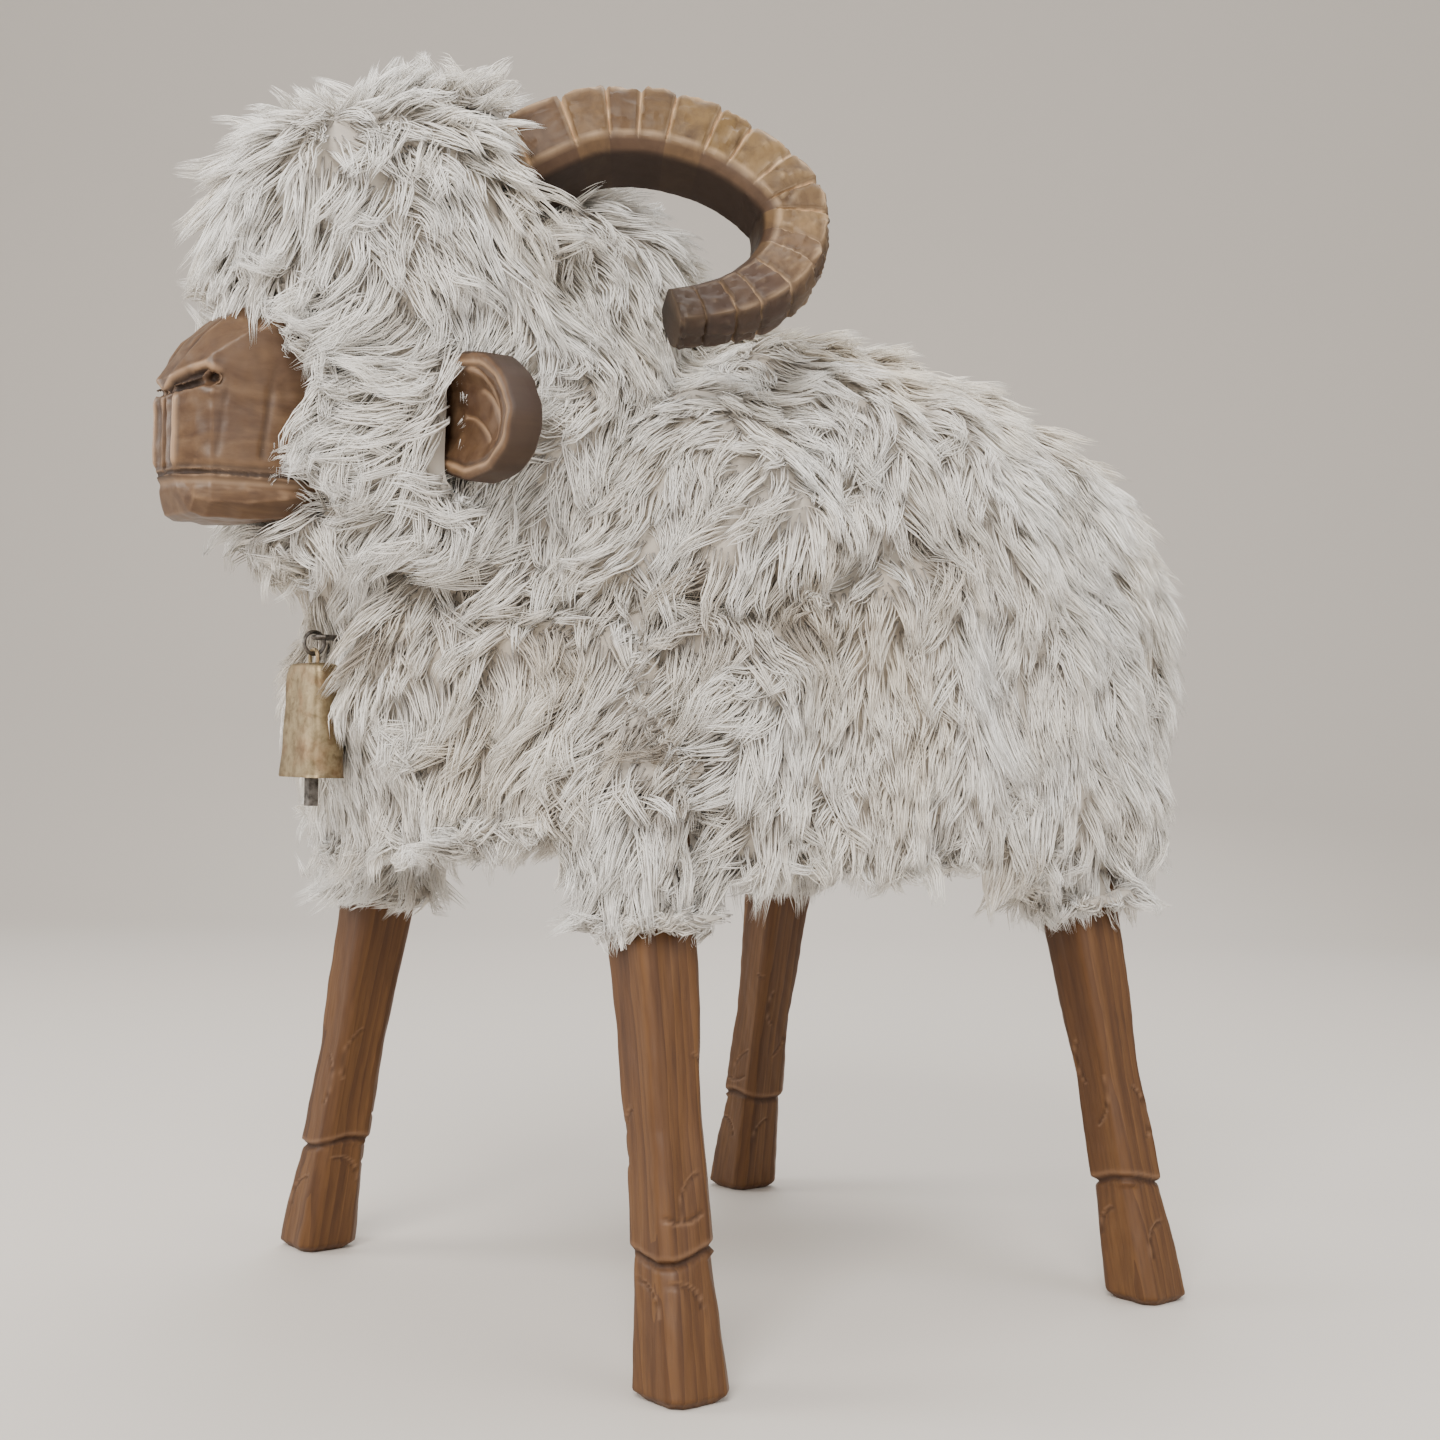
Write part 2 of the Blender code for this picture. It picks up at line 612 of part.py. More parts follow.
def horn_rings():
    path = horn_path()
    spans = len(path) - 3
    curl = Vector((0.118, -0.125, 0.548))
    rings = []
    steps = [(block_index + share) / HORN_BLOCKS for block_index in range(HORN_BLOCKS) for share in (0.0, 0.14, 0.86)]
    for step in steps + [1.0]:
        place, along = smooth_point(path, step * spans * 0.99999)
        outward = place - curl
        outward = (outward - along * outward.dot(along)).normalized()
        across = along.cross(outward)
        if across.x < 0:
            across = -across
        scale = HORN_BASE_SCALE + (HORN_TIP_SCALE - HORN_BASE_SCALE) * step
        at_groove = abs(step * HORN_BLOCKS - round(step * HORN_BLOCKS)) < 1e-6
        inner = 1 + HORN_INNER_SWELL * sin(pi * step) ** 2
        section = horn_section(scale, HORN_GROOVE if at_groove else 0.0, inner)
        rings.append([place + across * a + outward * o for a, o in section])
    return rings


def mirrored(points, side):
    return [Vector((side * p.x, p.y, p.z)) for p in points]


def make_horns():
    along = Vector((0.577, 0.610, 0.544)).normalized()
    for name, side in SIDES:
        horn = loft(f"horn_{name}", [mirrored(ring, side) for ring in horn_rings()], HORN_WOOD)
        inner = HEAD_HALF_WIDTH + FIT_GAP
        low, high = sorted((-side * 0.05, side * inner))
        combine(horn, block(f"cut_horn_seat_{name}", (low, -0.30, 0.45), (high, -0.12, 0.66), None,
                            collection=cutters))
        start, end = mirrored([HORN_DOWEL_MIDDLE - along * HORN_DOWEL_LENGTH / 2,
                               HORN_DOWEL_MIDDLE + along * HORN_DOWEL_LENGTH / 2], side)
        rod(f"horn_dowel_{name}", start, end, HORN_DOWEL_R, BEECH, segments=12)
        over = (end - start).normalized() * 2 * FIT_GAP
        hole = rod(f"cut_horn_dowel_{name}", start - over, end + over, HORN_DOWEL_R + FIT_GAP, None,
                   segments=12, collection=cutters)
        combine(horn, hole)
        combine(parts.objects["head_block"], hole)
        root = mirrored([Vector((0.020, -0.226, 0.545)), Vector((0.112, -0.109, 0.630))], side)
        rod(f"cut_horn_root_{name}", root[0], root[1], 0.031, None, segments=16, collection=cutters)


def ear_outline():
    """The ear seen from ahead, from its root out and round, as shares of its reach and height."""
    return [(0.0, 0.28), (0.22, 0.40), (0.48, 0.46), (0.72, 0.40), (0.90, 0.22), (1.0, -0.06),
            (0.95, -0.32), (0.80, -0.49), (0.56, -0.54), (0.30, -0.44), (0.0, -0.26)]


def make_ears():
    for name, side in SIDES:
        root_x = HEAD_HALF_WIDTH + FIT_GAP
        bevel = 0.0028
        rings = []
        for y, inset in ((-0.5, bevel), (-0.5 + bevel / EAR_THICKNESS, 0), (0.5 - bevel / EAR_THICKNESS, 0),
                         (0.5, bevel)):
            reach = EAR_REACH - inset
            height = EAR_HEIGHT - 2 * inset
            ring = [Vector((root_x + u * reach, EAR_MIDDLE_Y + y * EAR_THICKNESS, EAR_ROOT_Z + v * height))
                    for u, v in ear_outline()]
            rings.append(mirrored(ring, side))
        ear = loft(f"ear_{name}", rings, CARVED)
        middle = Vector((side * root_x, EAR_MIDDLE_Y, EAR_ROOT_Z))
        along = Vector((side * EAR_DOWEL_LENGTH / 2, 0, 0))
        rod(f"ear_dowel_{name}", middle - along, middle + along, EAR_DOWEL_R, BEECH, segments=12)
        room = along * (1 + 4 * FIT_GAP / EAR_DOWEL_LENGTH)
        hole = rod(f"cut_ear_dowel_{name}", middle - room, middle + room, EAR_DOWEL_R + FIT_GAP, None,
                   segments=12, collection=cutters)
        combine(ear, hole)
        combine(parts.objects["head_block"], hole)
        low = (0.030, EAR_MIDDLE_Y - EAR_THICKNESS / 2 - SOFT_GAP, EAR_ROOT_Z - EAR_HEIGHT * 0.60)
        high = (root_x + EAR_REACH + 0.02, EAR_MIDDLE_Y + EAR_THICKNESS / 2 + SOFT_GAP,
                EAR_ROOT_Z + EAR_HEIGHT * 0.52)
        xs = sorted((side * low[0], side * high[0]))
        block(f"cut_ear_{name}", (xs[0], low[1], low[2]), (xs[1], high[1], high[2]), None, collection=cutters)


# ---- padding and sheepskin ----

def body_point(q, inset):
    """Where the cube point q lands on the rounded-box form of the body, drawn in by inset."""
    ahead, below = q.y < 0, q.z < 0
    plan_power = CHEST_POWER if ahead else RUMP_POWER
    rise_power = BELLY_POWER if below else BACK_POWER
    plan = (abs(q.x) ** plan_power + abs(q.y) ** plan_power) ** (rise_power / plan_power)
    reach = (plan + abs(q.z) ** rise_power) ** (1 / rise_power)
    half_x = BODY_HALF_WIDTH - inset
    half_y = (CHEST_REACH if ahead else RUMP_REACH) - inset
    half_z = (BELLY_DROP if below else BACK_HEIGHT) - inset
    y = q.y * half_y / reach
    rise = q.z * half_z / reach
    if ahead and not below:
        rise *= 1 - SHOULDER_FALL * (-q.y / reach) ** SHOULDER_POWER
    return Vector((q.x * half_x / reach, BODY_MIDDLE_Y + y, BODY_MIDDLE_Z + rise))


def body_form(name, inset, cuts, finish, **where):
    bm = bmesh.new()
    bmesh.ops.create_cube(bm, size=2)
    bmesh.ops.subdivide_edges(bm, edges=bm.edges, cuts=cuts, use_grid_fill=True)
    for vert in bm.verts:
        vert.co = body_point(vert.co, inset)
    return add(name, bm, finish, **where)


FACES = {
    "fleece_back": lambda s, t: Vector((s, t, 1)),
    "fleece_flank_left": lambda s, t: Vector((1, s, t)),
    "fleece_flank_right": lambda s, t: Vector((-1, s, t)),
    "fleece_chest": lambda s, t: Vector((s, -1, t)),
    "fleece_rump": lambda s, t: Vector((s, 1, t)),
}


def bent_slab(name, face, outside, inside, cuts, finish):
    """A thick slab bent over one face of the body form, between two depths below its surface."""
    bm = bmesh.new()
    bmesh.ops.create_cube(bm, size=2)
    flat = [edge for edge in bm.edges if abs(edge.verts[0].co.z - edge.verts[1].co.z) < 1]
    bmesh.ops.subdivide_edges(bm, edges=flat, cuts=cuts, use_grid_fill=True)
    seam = 1 - 0.004
    for vert in bm.verts:
        inset = outside if vert.co.z > 0 else inside
        vert.co = body_point(face(vert.co.x * seam, vert.co.y * seam), inset)
    face_outwards(bm)
    return add(name, bm, finish)


def eye_shank():
    """The two ends of the screw eye's shank, which runs from the eye through the wool into the neck post."""
    start = Vector((0, EYE_PIN_Y + 2 * EYE_R, EYE_Z))
    return start, start + Vector((0, EYE_SHANK_LENGTH, 0))


def eye_hole():
    start, end = eye_shank()
    return rod("cut_eye_hole", start - Vector((0, 0.004, 0)), end + Vector((0, 0.002, 0)),
               EYE_SHANK_R + 2 * FIT_GAP, None, segments=10, collection=cutters)


def make_body_soft():
    for name, side, end in CORNERS:
        leg_clearance(name, side, end)
    panels = {name: bent_slab(name, face, 0, FLEECE_THICKNESS, FORM_CUTS, FLEECE) for name, face in FACES.items()}
    for corner, side, end in CORNERS:
        room = cutters.objects[f"cut_leg_{corner}"]
        combine(panels["fleece_flank_left" if side == LEFT else "fleece_flank_right"], room)
        combine(panels["fleece_chest" if end == FRONT else "fleece_rump"], room)

    hole = eye_hole()
    combine(panels["fleece_chest"], hole)
    combine(parts.objects["neck_post"], hole)
    for name in ("fleece_back", "fleece_chest"):
        combine(panels[name], cutters.objects["cut_post"])

    rest = SEAT_BOTTOM_Z + SEAT_THICKNESS + FIT_GAP
    outside = FLEECE_THICKNESS + PAD_GAP
    cushion = body_form("seat_cushion", outside, FORM_CUTS, FOAM)
    combine(cushion, block("cut_under_cushion", (-0.3, -0.4, 0.1), (0.3, 0.4, rest), None, collection=cutters))
    combine(cushion, cutters.objects["cut_post_notch"])
    for name, side in SIDES:
        span, middle = SIDE_PAD_HALF_SPAN, SIDE_PAD_MIDDLE
        bent_slab(f"side_pad_{name}", lambda s, t: Vector((side, s * span.x + middle.x, t * span.y + middle.y)),
                  outside, outside + SIDE_PAD_THICKNESS, 3, FOAM)
    make_dust_cover()
    make_cuffs()


def make_dust_cover():
    top = BOLSTER_BOTTOM_Z - FIT_GAP
    bottom = top - DUST_COVER_THICKNESS
    half_x = leg_x(BOLSTER_BOTTOM_Z) - LEG_THICKNESS / 2 - 0.004
    half_y = leg_y(BOLSTER_BOTTOM_Z) + BOLSTER_THICKNESS / 2 - 0.004
    cover = block("dust_cover", (-half_x, -half_y, bottom), (half_x, half_y, top), HESSIAN)
    for corner, side, end in CORNERS:
        seat = Vector((side * 0.030, end * leg_y(BOLSTER_BOTTOM_Z), bottom))
        profile = [(0, 0.0012), (TACK_HEAD_R, 0.0006), (TACK_HEAD_R, FIT_GAP), (TACK_SHANK_R, FIT_GAP),
                   (TACK_SHANK_R, -TACK_LENGTH * 0.8), (0, -TACK_LENGTH)]
        turned(f"cover_tack_{corner}", profile, seat, (0, 0, 1), STEEL, segments=10)
        hole = rod(f"cut_tack_{corner}", seat - Vector((0, 0, 0.004)), seat + Vector((0, 0, TACK_LENGTH + 0.001)),
                   TACK_SHANK_R + FIT_GAP, None, segments=10, collection=cutters)
        combine(cover, hole)
        combine(parts.objects["bolster_front" if end == FRONT else "bolster_rear"], hole)


def make_cuffs():
    for name, side, end in CORNERS:
        top = cuff_top_z()
        levels = [(CUFF_BOTTOM_Z, CUFF_HEM_R), (CUFF_BOTTOM_Z + 0.012, CUFF_R * 0.95),
                  ((CUFF_BOTTOM_Z + top) / 2, CUFF_R), (top, CUFF_R)]
        cuff = loft(f"fleece_cuff_{name}",
                    [circle(leg_middle(side, end, z), radius, 16) for z, radius in levels], FLEECE)
        rings = [chamfered_square(leg_middle(side, end, z), LEG_THICKNESS + 2 * SOFT_GAP, LEG_CHAMFER * 0.8)
                 for z in (CUFF_BOTTOM_Z - 0.01, top + 0.01)]
        combine(cuff, loft(f"cut_cuff_{name}", rings, None, collection=cutters))


def make_head_soft():
    gap = Vector((SOFT_GAP,) * 3)
    body_room = body_form("cut_body", -SOFT_GAP, FORM_CUTS, None, collection=cutters)
    head_room = ball("cut_head_ball", HEAD_FLEECE_MIDDLE, HEAD_FLEECE_HALF + gap, None, collection=cutters)
    hem_z = EYE_Z + NECK_HEM_ABOVE_EYE
    neck = ball("fleece_neck", NECK_MIDDLE, NECK_HALF, FLEECE)
    combine(neck, block("cut_neck_hem", (-0.2, -0.4, 0.2), (0.2, 0.1, hem_z), None, collection=cutters))
    for cutter in (body_room, head_room, cutters.objects["cut_head"], cutters.objects["cut_post"],
                   parts.objects["fleece_back"]):
        combine(neck, cutter)
    cap = ball("fleece_head", HEAD_FLEECE_MIDDLE, HEAD_FLEECE_HALF, FLEECE)
    combine(cap, cutters.objects["cut_head"])
    combine(cap, body_room)
    for name, _ in SIDES:
        combine(neck, cutters.objects[f"cut_ear_{name}"])
        combine(cap, cutters.objects[f"cut_ear_{name}"])
        combine(cap, cutters.objects[f"cut_horn_root_{name}"])


# ---- bell ----

def pivot(name, location, parent=ram):
    made = bpy.data.objects.new(name, None)
    made.location = location
    made.parent = parent
    parts.objects.link(made)
    return made


def bell_section(half_x, half_y, z, count=20):
    """A flattened round section."""
    power = 0.45
    points = []
    for i in range(count):
        a = 2 * pi * (i + 0.5) / count
        c, s = cos(a), sin(a)
        points.append(Vector((half_x * abs(c) ** power * (1 if c > 0 else -1),
                              half_y * abs(s) ** power * (1 if s > 0 else -1), z)))
    return points


def bell_shell(inset, top_z, rim_z):
    levels = [(0.0, 0.80), (0.035, 0.95), (0.10, 1.0)]
    rings = []
    for share, fullness in levels + [(1.0, 1.0)]:
        half_x = (BELL_TOP_HALF_X + (BELL_RIM_HALF_X - BELL_TOP_HALF_X) * share) * fullness - inset
        half_y = (BELL_TOP_HALF_Y + (BELL_RIM_HALF_Y - BELL_TOP_HALF_Y) * share) * fullness - inset
        rings.append(bell_section(half_x, half_y, top_z + (rim_z - top_z) * share))
    return rings


def arch(radius, leg, across, count=10):
    """Points of an upright staple: down one leg, over a half circle and down the other; across is its plane."""
    points = [across * -radius + Vector((0, 0, -leg))]
    for i in range(count + 1):
        a = pi * (1 - i / count)
        points.append(across * (radius * cos(a)) + Vector((0, 0, radius * sin(a))))
    return points + [across * radius + Vector((0, 0, -leg))]


def make_bell():
    pin = Vector((0, EYE_PIN_Y, EYE_Z))
    screw_eye = torus("bell_screw_eye", pin + Vector((0, EYE_R, 0)), (0, 0, 1), EYE_R, EYE_WIRE_R, DARK_STEEL)
    combine(screw_eye, rod("cut_eye_shank", *eye_shank(), EYE_SHANK_R, None, segments=10, collection=cutters), "UNION")

    ring_pivot = pivot("ring_pivot", pin)
    ring_drop = RING_R - (EYE_WIRE_R + RING_WIRE_R + LINK_GAP)
    torus("bell_ring", (0, 0, -ring_drop), (1, 0, 0), RING_R, RING_WIRE_R, DARK_STEEL, parent=ring_pivot)

    bell_pivot = pivot("bell_pivot", (0, 0, -ring_drop - RING_R), parent=ring_pivot)
    arch_z = 2 * RING_WIRE_R + LINK_GAP - LOOP_R
    top_z = -BELL_DROP
    wire("bell_loop", [p + Vector((0, 0, arch_z)) for p in
                       arch(LOOP_R, arch_z - top_z - FIT_GAP, Vector((1, 0, 0)))],
         RING_WIRE_R, BRASS, parent=bell_pivot)
    rim_z = top_z - BELL_HEIGHT
    bell = loft("bell_body", bell_shell(0, top_z, rim_z), BRASS, parent=bell_pivot)
    hollow = loft("cut_bell", bell_shell(BELL_WALL, top_z - BELL_WALL, rim_z - 0.004), None,
                  parent=bell_pivot, collection=cutters)
    combine(bell, hollow)

    crown_z = top_z - BELL_WALL
    clapper_pivot = pivot("clapper_pivot", (0, 0, crown_z - HOOK_DROP), parent=bell_pivot)
    hook_r = 0.0030
    hook = [Vector((0, -hook_r, HOOK_DROP - FIT_GAP))]
    for i in range(9):
        a = pi + pi * i / 8
        hook.append(Vector((0, hook_r * cos(a), hook_r * 0.9 + hook_r * 0.9 * sin(a))))
    hook.append(Vector((0, hook_r, HOOK_DROP - FIT_GAP)))
    wire("clapper_hook", hook, HOOK_WIRE_R, DARK_STEEL, parent=clapper_pivot)
    ring_z = HOOK_WIRE_R + CLAPPER_WIRE_R + LINK_GAP - CLAPPER_RING_R
    clapper = torus("clapper", (0, 0, ring_z), (0, 1, 0), CLAPPER_RING_R, CLAPPER_WIRE_R, DARK_STEEL, around=16,
                    parent=clapper_pivot)
    bar_top = ring_z - CLAPPER_RING_R - CLAPPER_WIRE_R * 0.3
    bar_bottom = rim_z - CLAPPER_BELOW_RIM - (crown_z - HOOK_DROP)
    half = CLAPPER_THICKNESS / 2
    combine(clapper, block("cut_clapper_bar", (-half, -half, bar_bottom), (half, half, bar_top), None,
                           parent=clapper_pivot, collection=cutters), "UNION")


make_legs()
make_frame()
make_head()
make_horns()
make_ears()
make_body_soft()
make_head_soft()
make_bell()

for made in parts.objects:
    if made.type == "MESH":
        made.data.shade_smooth()
        made.data.set_sharp_from_angle(angle=radians(35))
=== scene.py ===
import math

import bmesh
import bpy
import numpy as np
from mathutils import Matrix, Quaternion, Vector
from mathutils.bvhtree import BVHTree


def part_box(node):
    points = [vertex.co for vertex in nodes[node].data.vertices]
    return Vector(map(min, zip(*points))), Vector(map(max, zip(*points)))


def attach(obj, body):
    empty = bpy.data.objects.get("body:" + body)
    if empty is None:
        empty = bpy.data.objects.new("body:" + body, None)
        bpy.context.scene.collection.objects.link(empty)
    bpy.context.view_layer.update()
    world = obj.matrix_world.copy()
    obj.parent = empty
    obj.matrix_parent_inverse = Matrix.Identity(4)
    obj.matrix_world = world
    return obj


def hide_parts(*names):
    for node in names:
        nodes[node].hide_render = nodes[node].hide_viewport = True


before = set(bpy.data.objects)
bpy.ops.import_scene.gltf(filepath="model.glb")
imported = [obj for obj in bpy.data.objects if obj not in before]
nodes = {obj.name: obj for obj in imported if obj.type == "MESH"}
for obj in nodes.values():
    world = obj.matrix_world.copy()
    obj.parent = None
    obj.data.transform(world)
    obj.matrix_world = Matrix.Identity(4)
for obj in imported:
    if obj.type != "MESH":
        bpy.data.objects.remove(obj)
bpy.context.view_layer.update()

sides = {"left": 1, "right": -1}
corners = {"front_left": (1, -1), "front_right": (-1, -1), "rear_left": (1, 1), "rear_right": (-1, 1)}


class Sum:
    def __init__(self, finish, socket):
        self.finish, self.socket = finish, socket

    def sum(self, operation, *values):
        return self.finish.node("ShaderNodeMath", {"operation": operation}, dict(enumerate(values)))

    def __add__(self, other):
        return self.sum("ADD", self, other)

    def __radd__(self, other):
        return self.sum("ADD", other, self)

    def __sub__(self, other):
        return self.sum("SUBTRACT", self, other)

    def __rsub__(self, other):
        return self.sum("SUBTRACT", other, self)

    def __mul__(self, other):
        return self.sum("MULTIPLY", self, other)

    def __rmul__(self, other):
        return self.sum("MULTIPLY", other, self)

    def clamped(self):
        return self.finish.node("ShaderNodeClamp", {}, {0: self})


class Finish:
    def __init__(self, name, **sockets):
        self.material = bpy.data.materials.new(name)
        self.material.use_nodes = True
        self.tree = self.material.node_tree
        self.shader = self.tree.nodes["Principled BSDF"]
        for socket, value in sockets.items():
            self.shader.inputs[socket.replace("_", " ")].default_value = value

    def node(self, kind, settings=None, inputs=None, output=0):
        made = self.tree.nodes.new(kind)
        for key, value in (settings or {}).items():
            if key == "stops":
                ramp = made.color_ramp
                while len(ramp.elements) < len(value):
                    ramp.elements.new(0.5)
                for element, (place, colour) in zip(ramp.elements, value):
                    element.position = place
                    whole = hasattr(colour, "__len__")
                    element.color = (*colour, 1) if whole else (colour, colour, colour, 1)
            else:
                setattr(made, key, value)
        for key, value in (inputs or {}).items():
            if isinstance(value, Sum):
                self.tree.links.new(value.socket, made.inputs[key])
            else:
                made.inputs[key].default_value = value
        return Sum(self, made.outputs[output])

    def place(self, stretch=(1, 1, 1), turn=(0, 0, 0)):
        spot = self.node("ShaderNodeTexCoord", output="Object")
        return self.node("ShaderNodeMapping", {}, {"Vector": spot, "Scale": stretch, "Rotation": turn})

    def noise(self, scale, detail=3.0, rough=0.55, warp=0.0, spot=None):
        return self.node("ShaderNodeTexNoise", {}, {
            "Vector": spot or self.place(), "Scale": scale, "Detail": detail, "Roughness": rough,
            "Distortion": warp})

    def ramp(self, factor, *stops):
        return self.node("ShaderNodeValToRGB", {"stops": stops}, {"Fac": factor})

    def mix(self, factor, first, second):
        first, second = (c if isinstance(c, Sum) else (*c, 1) for c in (first, second))
        return self.node("ShaderNodeMix", {"data_type": "RGBA"}, {0: factor, 6: first, 7: second}, output=2)

    def carried(self, name):
        made = self.node("ShaderNodeAttribute", {"attribute_name": name}, output="Color")
        split = self.node("ShaderNodeSeparateColor", {}, {0: made})
        return [Sum(self, split.socket.node.outputs[i]) for i in range(3)]

    def put(self, colour=None, roughness=None, height=None, strength=0.4, depth=0.001, metallic=None,
            coat=None):
        for socket, value in (("Base Color", colour), ("Roughness", roughness), ("Metallic", metallic),
                              ("Coat Weight", coat)):
            if value is not None:
                self.tree.links.new(value.socket, self.shader.inputs[socket])
        if height is not None:
            bump = self.node("ShaderNodeBump", {},
                             {"Height": height, "Strength": strength, "Distance": depth})
            self.tree.links.new(bump.socket, self.shader.inputs["Normal"])
        return self.material


def meshFrom(name, points, faces, finish, outward=True):
    mesh = bpy.data.meshes.new(name)
    mesh.from_pydata([tuple(p) for p in points], [], [tuple(f) for f in faces])
    if outward:
        bm = bmesh.new()
        bm.from_mesh(mesh)
        bmesh.ops.recalc_face_normals(bm, faces=bm.faces)
        if bm.calc_volume(signed=True) < 0:
            bmesh.ops.reverse_faces(bm, faces=bm.faces)
        bm.to_mesh(mesh)
        bm.free()
    mesh.materials.append(finish)
    mesh.shade_smooth()
    piece = bpy.data.objects.new(name, mesh)
    bpy.context.scene.collection.objects.link(piece)
    return piece


def ringFaces(ringCount, around):
    faces = []
    for r in range(ringCount - 1):
        for i in range(around):
            j = (i + 1) % around
            faces.append((r * around + i, r * around + j, (r + 1) * around + j, (r + 1) * around + i))
    faces += [tuple(range(around)), tuple(range((ringCount - 1) * around, ringCount * around))]
    return faces


def setCarried(mesh, name, values):
    layer = mesh.color_attributes.new(name, "FLOAT_COLOR", "POINT")
    whole = np.ones((len(values), 4), np.float32)
    whole[:, :values.shape[1]] = values
    layer.data.foreach_set("color", whole.ravel())


def vertsOf(mesh):
    flat = np.empty(len(mesh.vertices) * 3, np.float32)
    mesh.vertices.foreach_get("co", flat)
    return flat.reshape(-1, 3).astype(float)


def normalsOf(mesh):
    flat = np.empty(len(mesh.vertices) * 3, np.float32)
    mesh.vertices.foreach_get("normal", flat)
    return flat.reshape(-1, 3).astype(float)


def ripple(points, wave, seed, count=5):
    # smooth noise between about -1 and 1: a few sine waves in random directions
    dice = np.random.default_rng(seed)
    total = np.zeros(len(points))
    for _ in range(count):
        direction = dice.normal(size=3)
        direction /= np.linalg.norm(direction)
        length = wave * dice.uniform(0.7, 1.5)
        total += np.sin(points @ direction * (2 * math.pi / length) + dice.uniform(0, 2 * math.pi))
    return total / math.sqrt(count) / 1.2


def unit(rows):
    return rows / np.maximum(np.linalg.norm(rows, axis=1, keepdims=True), 1e-9)


def smoothStep(low, high, value):
    share = np.clip((value - low) / (high - low), 0, 1)
    return share * share * (3 - 2 * share)


def fromNodes(name, nodeNames, voxel, smoothing, finish, slab=None):
    # one closed skin over several CAD solids, or over the slab of them between two places along Y
    points, faces = [], []
    for node in nodeNames:
        mesh = nodes[node].data
        base = len(points)
        points += [v.co.copy() for v in mesh.vertices]
        faces += [[base + i for i in p.vertices] for p in mesh.polygons]
    piece = meshFrom(name, points, faces, finish, outward=False)
    if slab:
        bm = bmesh.new()
        bm.from_mesh(piece.data)
        bmesh.ops.remove_doubles(bm, verts=bm.verts, dist=1e-6)
        for place, normal in zip(slab, ((0, -1, 0), (0, 1, 0))):
            whole = bm.verts[:] + bm.edges[:] + bm.faces[:]
            bmesh.ops.bisect_plane(bm, geom=whole, plane_co=(0, place, 0), plane_no=normal, clear_outer=True)
            bmesh.ops.holes_fill(bm, edges=[e for e in bm.edges if e.is_boundary])
        bm.to_mesh(piece.data)
        bm.free()
    remesh = piece.modifiers.new("remesh", "REMESH")
    remesh.mode = "VOXEL"
    remesh.voxel_size = voxel
    if smoothing:
        smooth = piece.modifiers.new("smooth", "SMOOTH")
        smooth.iterations = smoothing
        smooth.factor = 0.5
    graph = bpy.context.evaluated_depsgraph_get()
    baked = bpy.data.meshes.new_from_object(piece.evaluated_get(graph))
    piece.modifiers.clear()
    piece.data = baked
    baked.name = name
    if not baked.materials:
        baked.materials.append(finish)
    return piece


def woolFinish():
    # u is a lock's tint, from warm to white; v runs from a strand's root to its tip, and both ramps darken
    # toward the root as painted shade between the locks
    look = Finish("longWool", Roughness=0.82, Specular_IOR_Level=0.18, Sheen_Weight=0.22, Sheen_Roughness=0.5)
    uv = look.node("ShaderNodeUVMap", {"uv_map": "OFBake"})
    split = look.node("ShaderNodeSeparateXYZ", {}, {0: uv})
    tint, along = split, Sum(look, split.socket.node.outputs[1])
    warm = look.ramp(along, (0.0, (0.25, 0.205, 0.16)), (0.28, (0.68, 0.60, 0.49)), (0.7, (0.87, 0.80, 0.68)),
                     (1.0, (0.94, 0.89, 0.79)))
    white = look.ramp(along, (0.0, (0.33, 0.30, 0.265)), (0.28, (0.84, 0.815, 0.77)),
                      (0.7, (0.96, 0.945, 0.91)),
                      (1.0, (0.98, 0.97, 0.945)))
    return look.put(look.mix(tint, warm, white))


def pineFinish():
    look = Finish("stainedPine", Roughness=0.48, Specular_IOR_Level=0.30)
    grainSpot = look.place((1, 1, 0.055))
    rings = look.node("ShaderNodeTexWave", {"bands_direction": "X", "wave_profile": "SAW"}, {
        "Vector": look.place((1, 0.6, 0.05)), "Scale": 46.0, "Distortion": 8.0, "Detail": 3.0,
        "Detail Scale": 1.6})
    fibre = look.noise(520, 4, 0.6, spot=grainSpot)
    cloud = look.noise(26, 3, 0.6, 0.4, spot=look.place((1, 1, 0.35)))
    streak = look.noise(150, 3, 0.5, 0.2, spot=grainSpot)
    groove, edge, bright = look.carried("carve")
    tone = look.ramp(rings * 0.34 + streak * 0.66, (0.15, (0.048, 0.019, 0.007)),
                     (0.45, (0.098, 0.042, 0.013)),
                     (0.8, (0.150, 0.069, 0.021)))
    tone = look.mix(cloud * 0.35, tone, (0.062, 0.022, 0.009))
    tone = look.mix((fibre - 0.45).clamped() * 1.6, tone, (0.03, 0.011, 0.005))
    # painted shade in the cuts and a painted highlight beside them; the lighter corners are wear
    tone = look.mix(groove * 0.8, tone, (0.022, 0.009, 0.005))
    tone = look.mix(bright * 0.5, tone, (0.23, 0.125, 0.066))
    tone = look.mix(edge * 0.3, tone, (0.18, 0.088, 0.040))
    return look.put(tone, fibre * 0.25 + 0.38 + groove * 0.2, fibre * 0.6 + rings * 0.4, 0.35, 0.0006)


